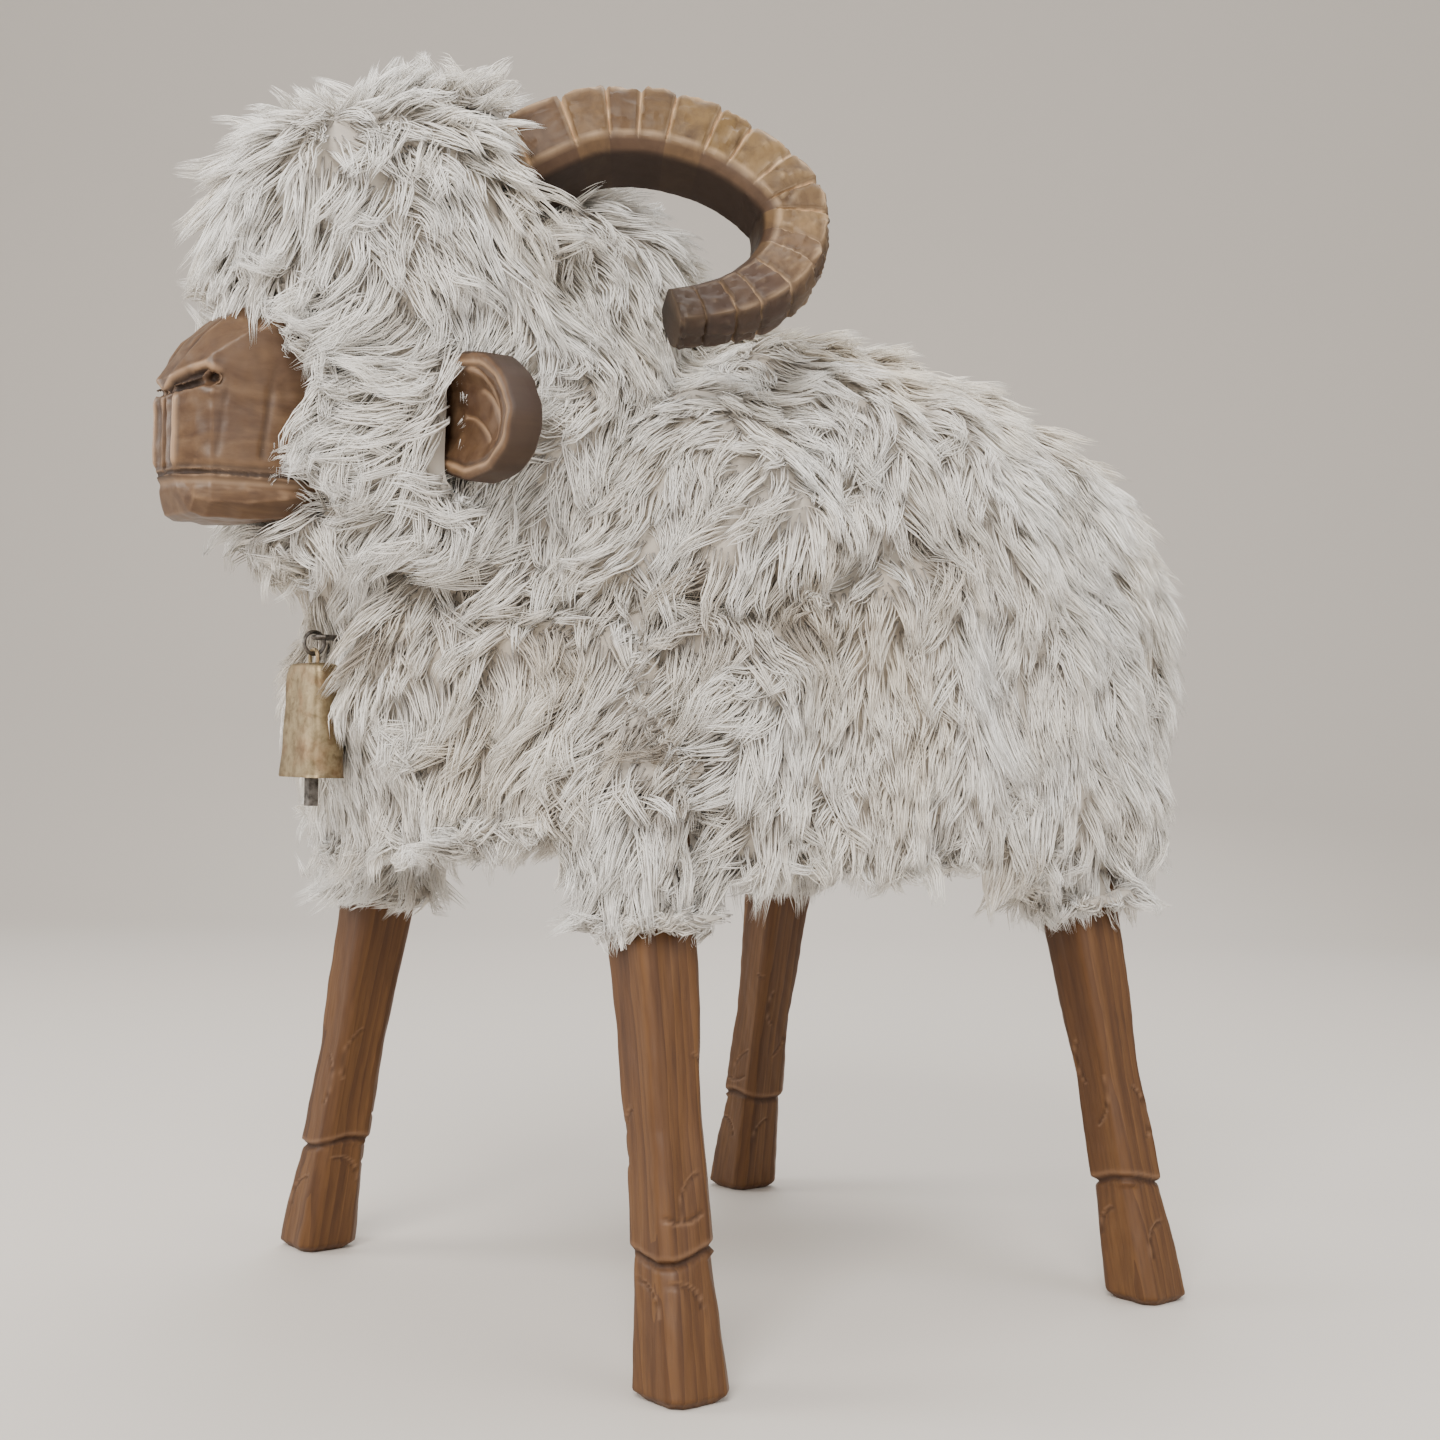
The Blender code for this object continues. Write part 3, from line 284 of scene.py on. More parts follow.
def carvedFinish():
    look = Finish("carvedHeadWood", Roughness=0.42, Specular_IOR_Level=0.35)
    grainSpot = look.place((1, 0.10, 1), (0.25, 0, 0))
    fibre = look.noise(430, 4, 0.6, spot=grainSpot)
    bands = look.noise(95, 4, 0.55, 0.8, spot=grainSpot)
    cloud = look.noise(30, 3, 0.55)
    groove, edge, bright = look.carried("carve")
    tone = look.ramp(bands, (0.28, (0.064, 0.032, 0.016)), (0.5, (0.110, 0.060, 0.029)),
                     (0.75, (0.160, 0.094, 0.048)))
    tone = look.mix((cloud - 0.35).clamped() * 1.6, tone, (0.075, 0.042, 0.028))
    tone = look.mix((fibre - 0.5).clamped() * 1.3, tone, (0.055, 0.024, 0.012))
    # painted shade in the grooves, and painted highlights on ridges and edges
    tone = look.mix(groove * 0.9, tone, (0.022, 0.013, 0.010))
    tone = look.mix(bright * 0.75, tone, (0.42, 0.27, 0.16))
    tone = look.mix(edge * 0.4, tone, (0.33, 0.20, 0.115))
    return look.put(tone, bands * 0.18 + 0.34 + groove * 0.25, fibre * 0.4 + bands * 0.6, 0.3, 0.0006)


def hornFinish():
    look = Finish("hornWood", Roughness=0.5, Specular_IOR_Level=0.28)
    along, face, pale = look.carried("horn")
    dark, block, chipGlint = look.carried("blocks")
    fibre = look.noise(380, 4, 0.6, spot=look.place((1, 1, 0.25), (0.3, 0.5, 0)))
    cloud = look.noise(75, 4, 0.6, 0.6)
    ribbed = look.ramp(along, (0.0, (0.085, 0.045, 0.022)), (0.22, (0.100, 0.054, 0.024)),
                       (0.40, (0.150, 0.088, 0.030)),
                       (0.58, (0.215, 0.135, 0.062)), (0.70, (0.190, 0.118, 0.066)),
                       (0.80, (0.070, 0.040, 0.026)),
                       (1.0, (0.022, 0.013, 0.010)))
    smooth = look.ramp(along, (0.0, (0.070, 0.038, 0.022)), (0.55, (0.088, 0.050, 0.028)),
                       (1.0, (0.022, 0.014, 0.011)))
    awake = look.ramp(along, (0.66, 1.0), (0.84, 0.18))
    tone = look.mix(face, smooth, ribbed)
    tone = look.mix((block - 0.5).clamped() * 0.8 * awake, tone, (0.26, 0.155, 0.055))
    tone = look.mix((0.5 - block).clamped() * 1.4, tone, (0.060, 0.030, 0.015))
    tone = look.mix((cloud - 0.42).clamped() * 2.4, tone, (0.045, 0.023, 0.012))
    # painted golden highlight on the chips
    tone = look.mix(chipGlint * 0.55 * awake, tone, (0.46, 0.32, 0.18))
    # painted highlights on the seams and ribbed edges
    tone = look.mix((pale * 0.95).clamped() * (awake * 0.6 + 0.4), tone, (0.66, 0.46, 0.28))
    tone = look.mix((fibre - 0.52).clamped() * 1.0, tone, (0.055, 0.030, 0.018))
    # painted shade on the faces turned from the light and at the block ends
    tone = look.mix(dark * 0.85, tone, (0.020, 0.012, 0.009))
    return look.put(tone, cloud * 0.2 + 0.42 + pale * 0.15, fibre * 0.5 + cloud * 0.5, 0.35, 0.0007)


def brassFinish():
    look = Finish("agedBrass", Metallic=1.0, Roughness=0.4)
    mottle = look.noise(190, 4, 0.65, 0.3)
    streak = look.noise(420, 3, 0.6, spot=look.place((1, 1, 0.12)))
    stain = look.noise(70, 3, 0.5)
    spots = look.noise(520, 2, 0.5)
    tone = look.ramp(mottle, (0.3, (0.15, 0.105, 0.058)), (0.5, (0.275, 0.212, 0.125)),
                     (0.72, (0.37, 0.30, 0.185)))
    tone = look.mix((stain - 0.5).clamped() * 1.8, tone, (0.36, 0.19, 0.10))
    tone = look.mix((streak - 0.5).clamped() * 0.9, tone, (0.14, 0.10, 0.06))
    tone = look.mix((spots - 0.68).clamped() * 5, tone, (0.05, 0.035, 0.02))
    return look.put(tone, mottle * 0.3 + 0.36, mottle * 0.6 + streak * 0.4, 0.25, 0.0005,
                    metallic=1.0 - (spots - 0.66).clamped() * 3)


def steelFinish(name, low, high, roughness):
    look = Finish(name, Metallic=1.0, Roughness=roughness)
    wear = look.noise(260, 4, 0.6, 0.2)
    tone = look.ramp(wear, (0.35, low), (0.7, high))
    return look.put(tone, wear * 0.35 + roughness - 0.15, wear, 0.2, 0.0004)


def bareWoodFinish(name, low, middle, high, stretch, plies=False):
    look = Finish(name, Roughness=0.7, Specular_IOR_Level=0.3)
    fibre = look.noise(360, 4, 0.6, spot=look.place(stretch))
    bands = look.noise(70, 4, 0.55, 1.2, spot=look.place(stretch))
    tone = look.ramp(bands, (0.3, low), (0.5, middle), (0.72, high))
    tone = look.mix((fibre - 0.5).clamped() * 1.2, tone, low)
    if plies:
        layers = look.node("ShaderNodeTexWave", {"bands_direction": "Z"},
                           {"Vector": look.place(), "Scale": 130.0})
        tone = look.mix(layers * 0.35, tone, low)
    return look.put(tone, fibre * 0.3 + 0.5, fibre, 0.3, 0.0006)


def foamFinish():
    look = Finish("seatFoam", Roughness=0.95, Specular_IOR_Level=0.1)
    cells = look.node("ShaderNodeTexVoronoi", {"feature": "SMOOTH_F1"},
                      {"Vector": look.place(), "Scale": 520.0})
    cloud = look.noise(40, 3)
    tone = look.ramp(cloud, (0.3, (0.62, 0.52, 0.28)), (0.7, (0.76, 0.68, 0.43)))
    tone = look.mix((0.45 - cells).clamped(), tone, (0.36, 0.29, 0.14))
    return look.put(tone, None, cells, 0.5, 0.0009)


def hessianFinish():
    look = Finish("hessianWeave", Roughness=0.95, Specular_IOR_Level=0.1)
    spot = look.place()
    threads = {"Vector": spot, "Scale": 210.0, "Distortion": 0.6, "Detail": 2.0}
    warp = look.node("ShaderNodeTexWave", {"bands_direction": "X"}, threads)
    weft = look.node("ShaderNodeTexWave", {"bands_direction": "Y"}, threads)
    cloth = warp * weft
    cloud = look.noise(30, 3)
    tone = look.ramp(cloth, (0.05, (0.12, 0.085, 0.045)), (0.35, (0.36, 0.265, 0.15)),
                     (0.9, (0.52, 0.40, 0.25)))
    tone = look.mix(cloud * 0.3, tone, (0.30, 0.22, 0.13))
    return look.put(tone, None, cloth, 0.8, 0.0012)


# place, direction, length in mm, lift from the skin, tint from warm to white; the right side mirrors the left
combs = [
    ((0.00, -0.225, 0.645), (0.15, -0.45, 0.60), 30, 0.60, 0.90),
    ((0.05, -0.200, 0.630), (0.75, 0.00, 0.30), 32, 0.50, 0.85),
    ((0.00, -0.130, 0.610), (0.10, 0.85, 0.30), 34, 0.50, 0.80),
    ((0.00, -0.085, 0.575), (0.15, 0.75, 0.55), 44, 0.60, 0.60),
    ((0.03, -0.290, 0.590), (0.15, -0.75, -0.35), 44, 0.50, 0.85),
    ((0.02, -0.315, 0.545), (0.05, -0.35, -1.0), 52, 0.30, 0.90),
    ((0.07, -0.275, 0.520), (0.25, -0.25, -1.0), 52, 0.30, 0.85),
    ((0.095, -0.215, 0.545), (0.30, -0.05, -1.0), 46, 0.38, 0.70),
    ((0.09, -0.165, 0.560), (0.40, 0.35, -0.80), 42, 0.40, 0.60),
    ((0.06, -0.245, 0.475), (0.20, -0.80, -0.45), 40, 0.34, 0.90),
    ((0.05, -0.245, 0.440), (0.10, -0.95, -0.25), 52, 0.34, 0.90),
    ((0.05, -0.240, 0.410), (0.10, -0.90, -0.40), 50, 0.34, 0.85),
    ((0.09, -0.200, 0.420), (0.20, -0.85, -0.45), 44, 0.30, 0.85),
    ((0.02, -0.234, 0.385), (0.10, -0.45, -0.90), 38, 0.32, 0.75),
    ((0.10, -0.155, 0.440), (0.10, -0.80, -0.60), 40, 0.28, 0.65),
    ((0.095, -0.110, 0.500), (0.40, 0.10, -0.90), 40, 0.32, 0.75),
    ((0.12, -0.110, 0.440), (0.15, -0.75, -0.65), 40, 0.28, 0.70),
    ((0.13, -0.060, 0.400), (0.15, -0.55, -0.85), 40, 0.30, 0.80),
    ((0.134, -0.023, 0.471), (0.50, 0.15, -0.85), 38, 0.32, 0.75),
    ((0.165, 0.000, 0.430), (0.20, -0.30, -1.0), 38, 0.30, 0.80),
    ((0.172, 0.080, 0.420), (0.15, 0.00, -1.0), 46, 0.26, 0.85),
    ((0.176, 0.079, 0.340), (0.05, -0.05, -1.0), 46, 0.24, 0.80),
    # a warmer, darker tint under the crease, painted shade
    ((0.176, 0.020, 0.330), (0.05, -0.25, -1.0), 34, 0.30, 0.40),
    ((0.175, 0.000, 0.270), (0.05, -0.15, -1.0), 34, 0.28, 0.60),
    ((0.172, 0.180, 0.330), (0.10, 0.10, -1.0), 44, 0.26, 0.75),
    ((0.172, 0.170, 0.440), (0.30, 0.25, -0.90), 42, 0.26, 0.80),
    ((0.00, 0.050, 0.515), (0.55, 0.45, 0.05), 36, 0.24, 0.08),
    ((0.07, 0.050, 0.510), (0.80, 0.20, -0.20), 36, 0.24, 0.05),
    ((0.07, 0.180, 0.500), (0.60, 0.60, -0.20), 38, 0.24, 0.08),
    ((0.00, 0.220, 0.490), (0.10, 0.90, -0.30), 40, 0.24, 0.15),
    ((0.00, 0.300, 0.400), (0.05, 0.20, -1.0), 46, 0.26, 0.75),
    ((0.10, 0.298, 0.330), (0.15, 0.20, -1.0), 46, 0.26, 0.75),
    ((0.00, 0.298, 0.280), (0.05, 0.15, -1.0), 44, 0.26, 0.65),
    ((0.155, -0.125, 0.320), (0.20, -0.70, -0.65), 40, 0.34, 0.90),
    ((0.160, -0.105, 0.270), (0.25, -0.85, -0.50), 42, 0.38, 0.95),
    ((0.160, -0.120, 0.235), (0.20, -0.60, -0.85), 38, 0.36, 0.95),
    ((0.110, -0.170, 0.310), (0.20, -0.35, -1.0), 38, 0.30, 0.55),
    ((0.050, -0.200, 0.330), (0.10, -0.15, -1.0), 42, 0.26, 0.75),
    ((0.045, -0.205, 0.270), (0.15, -0.10, -1.0), 42, 0.28, 0.80),
    ((0.000, -0.205, 0.300), (0.02, -0.10, -1.0), 34, 0.16, 0.80),
    ((0.000, -0.060, 0.520), (0.30, 0.70, -0.20), 36, 0.30, 0.60),
]

woolLook = {
    "locks": 9400,
    "strands": 20,
    "rings": 5,
    "lockRadius": 0.0068,
    "strandRadius": 0.00030,
    "crimp": 0.0009,
    "crimpLength": 0.026,
    "sink": 0.0035,
    "lump": 0.0048,
    "messy": 0.26,
    "hem": 0.215,
    "mostFaces": 180000,
    "seed": 11,
    "combBlend": 0.012,
    "rootGap": 0.0062,
    "crowding": 1.35,
    "earMiddle": (0.116, -0.183, 0.449),
    "earRoom": (0.020, 0.0085, 0.031),
}

# where the pelts meet or fold: a line on the skin, its depth and its width
folds = [
    ([(0.014, -0.235, 0.362), (0.070, -0.190, 0.364), (0.120, -0.154, 0.367), (0.150, -0.118, 0.366),
      (0.168, -0.073, 0.366), (0.175, -0.017, 0.384), (0.172, 0.049, 0.412)], 0.016, 0.012),
    ([(0.146, -0.127, 0.360), (0.150, -0.120, 0.330), (0.158, -0.105, 0.291), (0.162, -0.086, 0.250)],
     0.013, 0.011),
    ([(0.085, -0.190, 0.350), (0.100, -0.183, 0.300), (0.105, -0.176, 0.245)], 0.006, 0.014),
    ([(0.172, 0.120, 0.500), (0.176, 0.150, 0.400), (0.176, 0.160, 0.300)], 0.004, 0.012),
]
# fuller places: middle, height above the skin, width
swells = [
    ((0.158, -0.135, 0.290), 0.009, 0.034), ((0.155, -0.085, 0.400), 0.006, 0.045),
    ((0.030, -0.235, 0.400), 0.006, 0.035), ((0.160, 0.060, 0.470), 0.006, 0.060),
    ((0.045, -0.270, 0.600), 0.006, 0.040), ((0.135, -0.095, 0.470), 0.017, 0.034),
    ((0.060, 0.060, 0.515), 0.012, 0.110), ((0.000, -0.050, 0.520), 0.012, 0.060),
    ((0.090, 0.298, 0.330), -0.008, 0.120), ((0.165, 0.250, 0.300), -0.006, 0.090),
    ((0.055, -0.255, 0.430), 0.007, 0.030), ((0.045, -0.200, 0.320), 0.013, 0.045),
    ((0.000, -0.085, 0.555), 0.030, 0.055), ((0.055, -0.085, 0.530), 0.018, 0.035),
    ((0.000, -0.190, 0.640), -0.014, 0.060), ((0.104, -0.205, 0.452), -0.016, 0.030),
    ((0.034, -0.212, 0.322), 0.012, 0.020), ((0.150, -0.112, 0.262), 0.012, 0.030),
    ((0.138, -0.128, 0.472), 0.015, 0.026), ((0.150, 0.205, 0.262), 0.008, 0.030),
]


def lineDistance(points, line):
    line = np.array(line)
    best = np.full(len(points), 1e9)
    for a, b in zip(line, line[1:]):
        along = b - a
        share = np.clip((points - a) @ along / (along @ along), 0, 1)[:, None]
        best = np.minimum(best, np.linalg.norm(points - (a + share * along), axis=1))
    return best


def folded(points):
    # the right side laid over the left
    return np.stack([np.abs(points[:, 0]), points[:, 1], points[:, 2]], axis=1)


def skinRise(points):
    half = folded(points)
    rise = woolLook["lump"] * ripple(points, 0.075, 3) + 0.0032 * ripple(points, 0.034, 4)
    for line, depth, width in folds:
        rise -= depth * np.exp(-(lineDistance(half, line) / width) ** 2)
    for middle, height, width in swells:
        rise += height * np.exp(-(np.linalg.norm(half - np.array(middle), axis=1) / width) ** 2)
    return rise


def foldShade(points):
    half = folded(points)
    shade = np.zeros(len(points))
    for line, depth, width in folds[:3]:
        shade = np.maximum(shade, depth / 0.011 * np.exp(-(lineDistance(half, line) / (width * 1.5)) ** 2))
    return shade


def combed(points):
    half = folded(points)
    places = np.array([c[0] for c in combs])
    facts = np.array([(*(np.array(c[1]) / np.linalg.norm(c[1])), c[2], c[3], c[4]) for c in combs])
    weight = 1 / (np.linalg.norm(half[:, None] - places[None], axis=2) + woolLook["combBlend"]) ** 4
    mixed = weight @ facts / weight.sum(1, keepdims=True)
    mixed[:, 0] *= points[:, 0] / np.sqrt(points[:, 0] ** 2 + woolLook["combBlend"] ** 2)
    return mixed[:, :3], mixed[:, 3] / 1000, mixed[:, 4], mixed[:, 5]


def fleeceNodes():
    return [name for name in nodes if name.startswith("fleece_")]


def makeSkin(finish):
    skin = fromNodes("woolSkin", fleeceNodes(), 0.006, 8, finish)
    mesh = skin.data
    points, normals = vertsOf(mesh), normalsOf(mesh)
    tree = BVHTree.FromPolygons([tuple(p) for p in points], [tuple(f.vertices) for f in mesh.polygons])
    hidden = []
    for point, normal in zip(points, normals):
        ahead = Vector(normal)
        hit = tree.ray_cast(Vector(point) + ahead * 0.004, ahead, 0.5)[0]
        hidden.append(hit is not None)
    hidden = np.array(hidden)
    rise = skinRise(points)
    rise[hidden] = 0
    _, length, lift, _ = combed(points)
    sink = woolLook["sink"] + 0.62 * length * lift
    moved = points + normals * (rise - sink * ~hidden)[:, None]
    mesh.vertices.foreach_set("co", moved.astype(np.float32).ravel())
    mesh.update()
    return skin, hidden


def skinRoots(skin, hidden, count, dice):
    mesh = skin.data
    mesh.calc_loop_triangles()
    trios = np.empty(len(mesh.loop_triangles) * 3, np.int32)
    mesh.loop_triangles.foreach_get("vertices", trios)
    trios = trios.reshape(-1, 3)
    trios = trios[~hidden[trios].all(axis=1)]
    points, normals = vertsOf(mesh), normalsOf(mesh)
    a, b, c = (points[trios[:, i]] for i in range(3))
    area = np.linalg.norm(np.cross(b - a, c - a), axis=1) / 2
    picked = dice.choice(len(area), size=count, p=area / area.sum())
    u, v = dice.random(count), dice.random(count)
    over = u + v > 1
    u[over], v[over] = 1 - u[over], 1 - v[over]
    u, v = u[:, None], v[:, None]
    root = a[picked] * (1 - u - v) + b[picked] * u + c[picked] * v
    na, nb, nc = (normals[trios[picked, i]] for i in range(3))
    return root, unit(na * (1 - u - v) + nb * u + nc * v)


def spread(root, gap):
    # leaves out roots that crowd each other
    cells, keep = {}, []
    steps = [(dx, dy, dz) for dx in (-1, 0, 1) for dy in (-1, 0, 1) for dz in (-1, 0, 1)]
    for i, (kx, ky, kz) in enumerate(np.floor(root / gap).astype(int).tolist()):
        near = [j for dx, dy, dz in steps for j in cells.get((kx + dx, ky + dy, kz + dz), ())]
        if near and np.abs(root[near] - root[i]).sum(axis=1).min() < gap * woolLook["crowding"]:
            continue
        cells.setdefault((kx, ky, kz), []).append(i)
        keep.append(i)
    return np.array(keep)


def swirl(points, wave, seed):
    return np.stack([ripple(points, wave, seed + i, 4) for i in range(3)], axis=1)


def growGuides(root, normal, tree, dice):
    rings = woolLook["rings"]
    flow, length, lift, tint = combed(root)
    length = length * dice.uniform(0.72, 1.2, len(root)) * (1 + 0.16 * ripple(root, 0.05, 21))
    room = np.maximum(root[:, 2] - woolLook["hem"], 0) / 0.85 + 0.016
    down = np.clip(-flow[:, 2], 0, 1)
    length = np.where(root[:, 2] < 0.30, np.minimum(length, room / np.maximum(down, 0.35)), length)
    jitter = dice.normal(size=(len(root), 3)) * woolLook["messy"]
    flick = dice.uniform(0.6, 1.5, len(root))
    path = [root - normal * 0.002]
    normals = [normal]
    step = length / (rings - 1)
    for k in range(1, rings):
        here, facing = path[-1], normals[-1]
        flow = unit(combed(here)[0]) + 0.42 * swirl(here, 0.055, 31) + jitter
        flow -= facing * np.sum(flow * facing, axis=1, keepdims=True)
        flow = unit(flow)
        share = k / (rings - 1)
        slope = lift * flick * (0.85 + 0.5 * share)
        there = here + unit(flow + facing * slope[:, None]) * step[:, None]
        want = length * lift * 0.45 * share
        nearNormals = np.empty_like(there)
        for i in range(len(there)):
            spot, skinNormal, _, _ = tree.find_nearest(there[i])
            height = (Vector(there[i]) - spot).dot(skinNormal)
            if height < want[i]:
                there[i] += np.array(skinNormal) * (want[i] - height) * 0.8
            elif height > want[i] * 1.8:
                there[i] += np.array(skinNormal) * (want[i] * 1.8 - height) * 0.22
            nearNormals[i] = skinNormal
        path.append(there)
        normals.append(unit(facing * 0.6 + nearNormals * 0.4))
    return np.stack(path, 1), np.stack(normals, 1), length, tint


def strandsOn(guides, guideNormals, length, tint, dice):
    # strands gathered round each lock's middle line, as closed three-sided threads
    count, rings = guides.shape[:2]
    each = woolLook["strands"]
    total = count * each
    owner = np.repeat(np.arange(count), each)
    share = np.linspace(0, 1, rings)[None, :]
    along = unit(np.gradient(guides, axis=1).reshape(-1, 3)).reshape(guides.shape)
    side = unit(np.cross(along, guideNormals).reshape(-1, 3)).reshape(guides.shape)
    upward = np.cross(side, along)
    turn = dice.uniform(0, 2 * math.pi, total)[:, None]
    away = np.sqrt(dice.uniform(0.02, 1, total))[:, None]
    gather = woolLook["lockRadius"] * (1.15 - 0.72 * share ** 1.3)
    twist = turn + share * dice.uniform(-1.2, 1.2, total)[:, None]
    across = away * gather * np.cos(twist)
    above = away * gather * np.sin(twist) * 0.55
    phase = (dice.uniform(0, 2 * math.pi, count)[owner] + dice.normal(0, 0.55, total))[:, None]
    waves = length[owner][:, None] / woolLook["crimpLength"] * dice.uniform(0.75, 1.35, count)[owner][:, None]
    across = across + woolLook["crimp"] * share ** 0.7 * np.sin(phase + share * waves * 2 * math.pi)
    above = above + woolLook["crimp"] * 0.45 * share * np.cos(phase + share * waves * 2 * math.pi)
    cut = dice.uniform(0.74, 1.06, total)[:, None]
    sample = np.clip(share * cut, 0, 1) * (rings - 1)
    low = np.minimum(sample.astype(int), rings - 2)
    part = (sample - low)[..., None]
    rows = owner[:, None]
    pick = lambda field: field[rows, low] * (1 - part) + field[rows, low + 1] * part
    middle = pick(guides) + pick(side) * across[..., None] + pick(upward) * above[..., None]
    tangent = unit(np.gradient(middle, axis=1).reshape(-1, 3)).reshape(middle.shape)
    sideways = unit(np.cross(tangent, pick(upward)).reshape(-1, 3)).reshape(middle.shape)
    outer = np.cross(sideways, tangent)
    thick = woolLook["strandRadius"] * dice.uniform(0.65, 1.35, total)[:, None] * (1.25 - 0.95 * share ** 1.6)
    around = []
    for k in range(3):
        angle = 2 * math.pi * k / 3 + math.pi / 2
        offset = sideways * math.cos(angle) * 1.25 + outer * math.sin(angle) * 0.8
        around.append(middle + offset * thick[..., None])
    body = np.stack(around, 2)[:, :-1]
    tips = middle[:, -1]
    shade = np.clip(tint[owner] + dice.normal(0, 0.08, total), 0.02, 0.98)
    # strands that would run through an ear are left out
    fromEar = np.abs(middle * np.array([0, 1, 1]) + np.abs(middle) * np.array([1, 0, 0])
                     - woolLook["earMiddle"])
    clear = ~(fromEar < woolLook["earRoom"]).all(axis=2).any(axis=1)
    return body[clear], tips[clear], shade[clear], share[0], owner[clear]


def threadMesh(name, skinPart, body, tips, shade, share, paintedShade, finish):
    # skinPart: points, faces, and tint with painted shade for the short wool under the locks, which is
    # coloured darker as shade between them
    total, rings = body.shape[:2]
    perStrand = rings * 3 + 1
    strandPoints = np.concatenate([body.reshape(total, -1, 3), tips[:, None]], axis=1)
    quads, triangles = [], [(0, 2, 1)]
    for r in range(rings - 1):
        for k in range(3):
            n = (k + 1) % 3
            quads.append((r * 3 + k, r * 3 + n, (r + 1) * 3 + n, (r + 1) * 3 + k))
    for k in range(3):
        triangles.append(((rings - 1) * 3 + k, (rings - 1) * 3 + (k + 1) % 3, rings * 3))
    base = (np.arange(total) * perStrand)[:, None, None]
    quads = (np.array(quads)[None] + base).reshape(-1, 4)
    triangles = (np.array(triangles)[None] + base).reshape(-1, 3)
    v = np.concatenate([np.repeat(share[:-1], 3), [1.0]])
    # v is lowered by the painted shade, towards the darker root colours
    vAll = np.tile(v, total) * np.repeat(1 - paintedShade, perStrand)
    uAll = np.repeat(shade, perStrand)
    skinPoints, skinFaces, skinTintAndShade = skinPart
    offset = len(strandPoints.reshape(-1, 3))
    points = np.concatenate([strandPoints.reshape(-1, 3), skinPoints])
    # the short wool under the locks takes the dark root colours, as painted shade between the locks
    vAll = np.concatenate([vAll, np.full(len(skinPoints), 0.12)])
    uAll = np.concatenate([uAll, skinTintAndShade])
    skinFaces = np.array(skinFaces, int).reshape(-1, 3) + offset
    loops = np.concatenate([quads.ravel(), triangles.ravel(), skinFaces.ravel()])
    starts = np.concatenate([np.arange(len(quads)) * 4, len(quads) * 4 + np.arange(len(triangles)) * 3,
                             len(quads) * 4 + len(triangles) * 3 + np.arange(len(skinFaces)) * 3])
    mesh = bpy.data.meshes.new(name)
    mesh.vertices.add(len(points))
    mesh.vertices.foreach_set("co", points.astype(np.float32).ravel())
    mesh.loops.add(len(loops))
    mesh.loops.foreach_set("vertex_index", loops.astype(np.int32))
    mesh.polygons.add(len(starts))
    mesh.polygons.foreach_set("loop_start", starts.astype(np.int32))
    layer = mesh.uv_layers.new(name="OFBake")
    layer.data.foreach_set("uv", np.stack([uAll[loops], vAll[loops]], 1).astype(np.float32).ravel())
    mesh.update(calc_edges=True)
    mesh.shade_smooth()
    mesh.materials.append(finish)
    piece = bpy.data.objects.new(name, mesh)
    bpy.context.scene.collection.objects.link(piece)
    return piece


def nearestNodes(points, names):
    # which CAD solid each point lies nearest to
    best = np.full(len(points), 1e9)
    owner = np.zeros(len(points), int)
    for index, name in enumerate(names):
        mesh = nodes[name].data
        tree = BVHTree.FromPolygons([v.co for v in mesh.vertices], [tuple(p.vertices) for p in mesh.polygons])
        for i, point in enumerate(points):
            found = tree.find_nearest(point, best[i])
            if found[0] is not None and found[3] < best[i]:
                best[i], owner[i] = found[3], index
    return owner


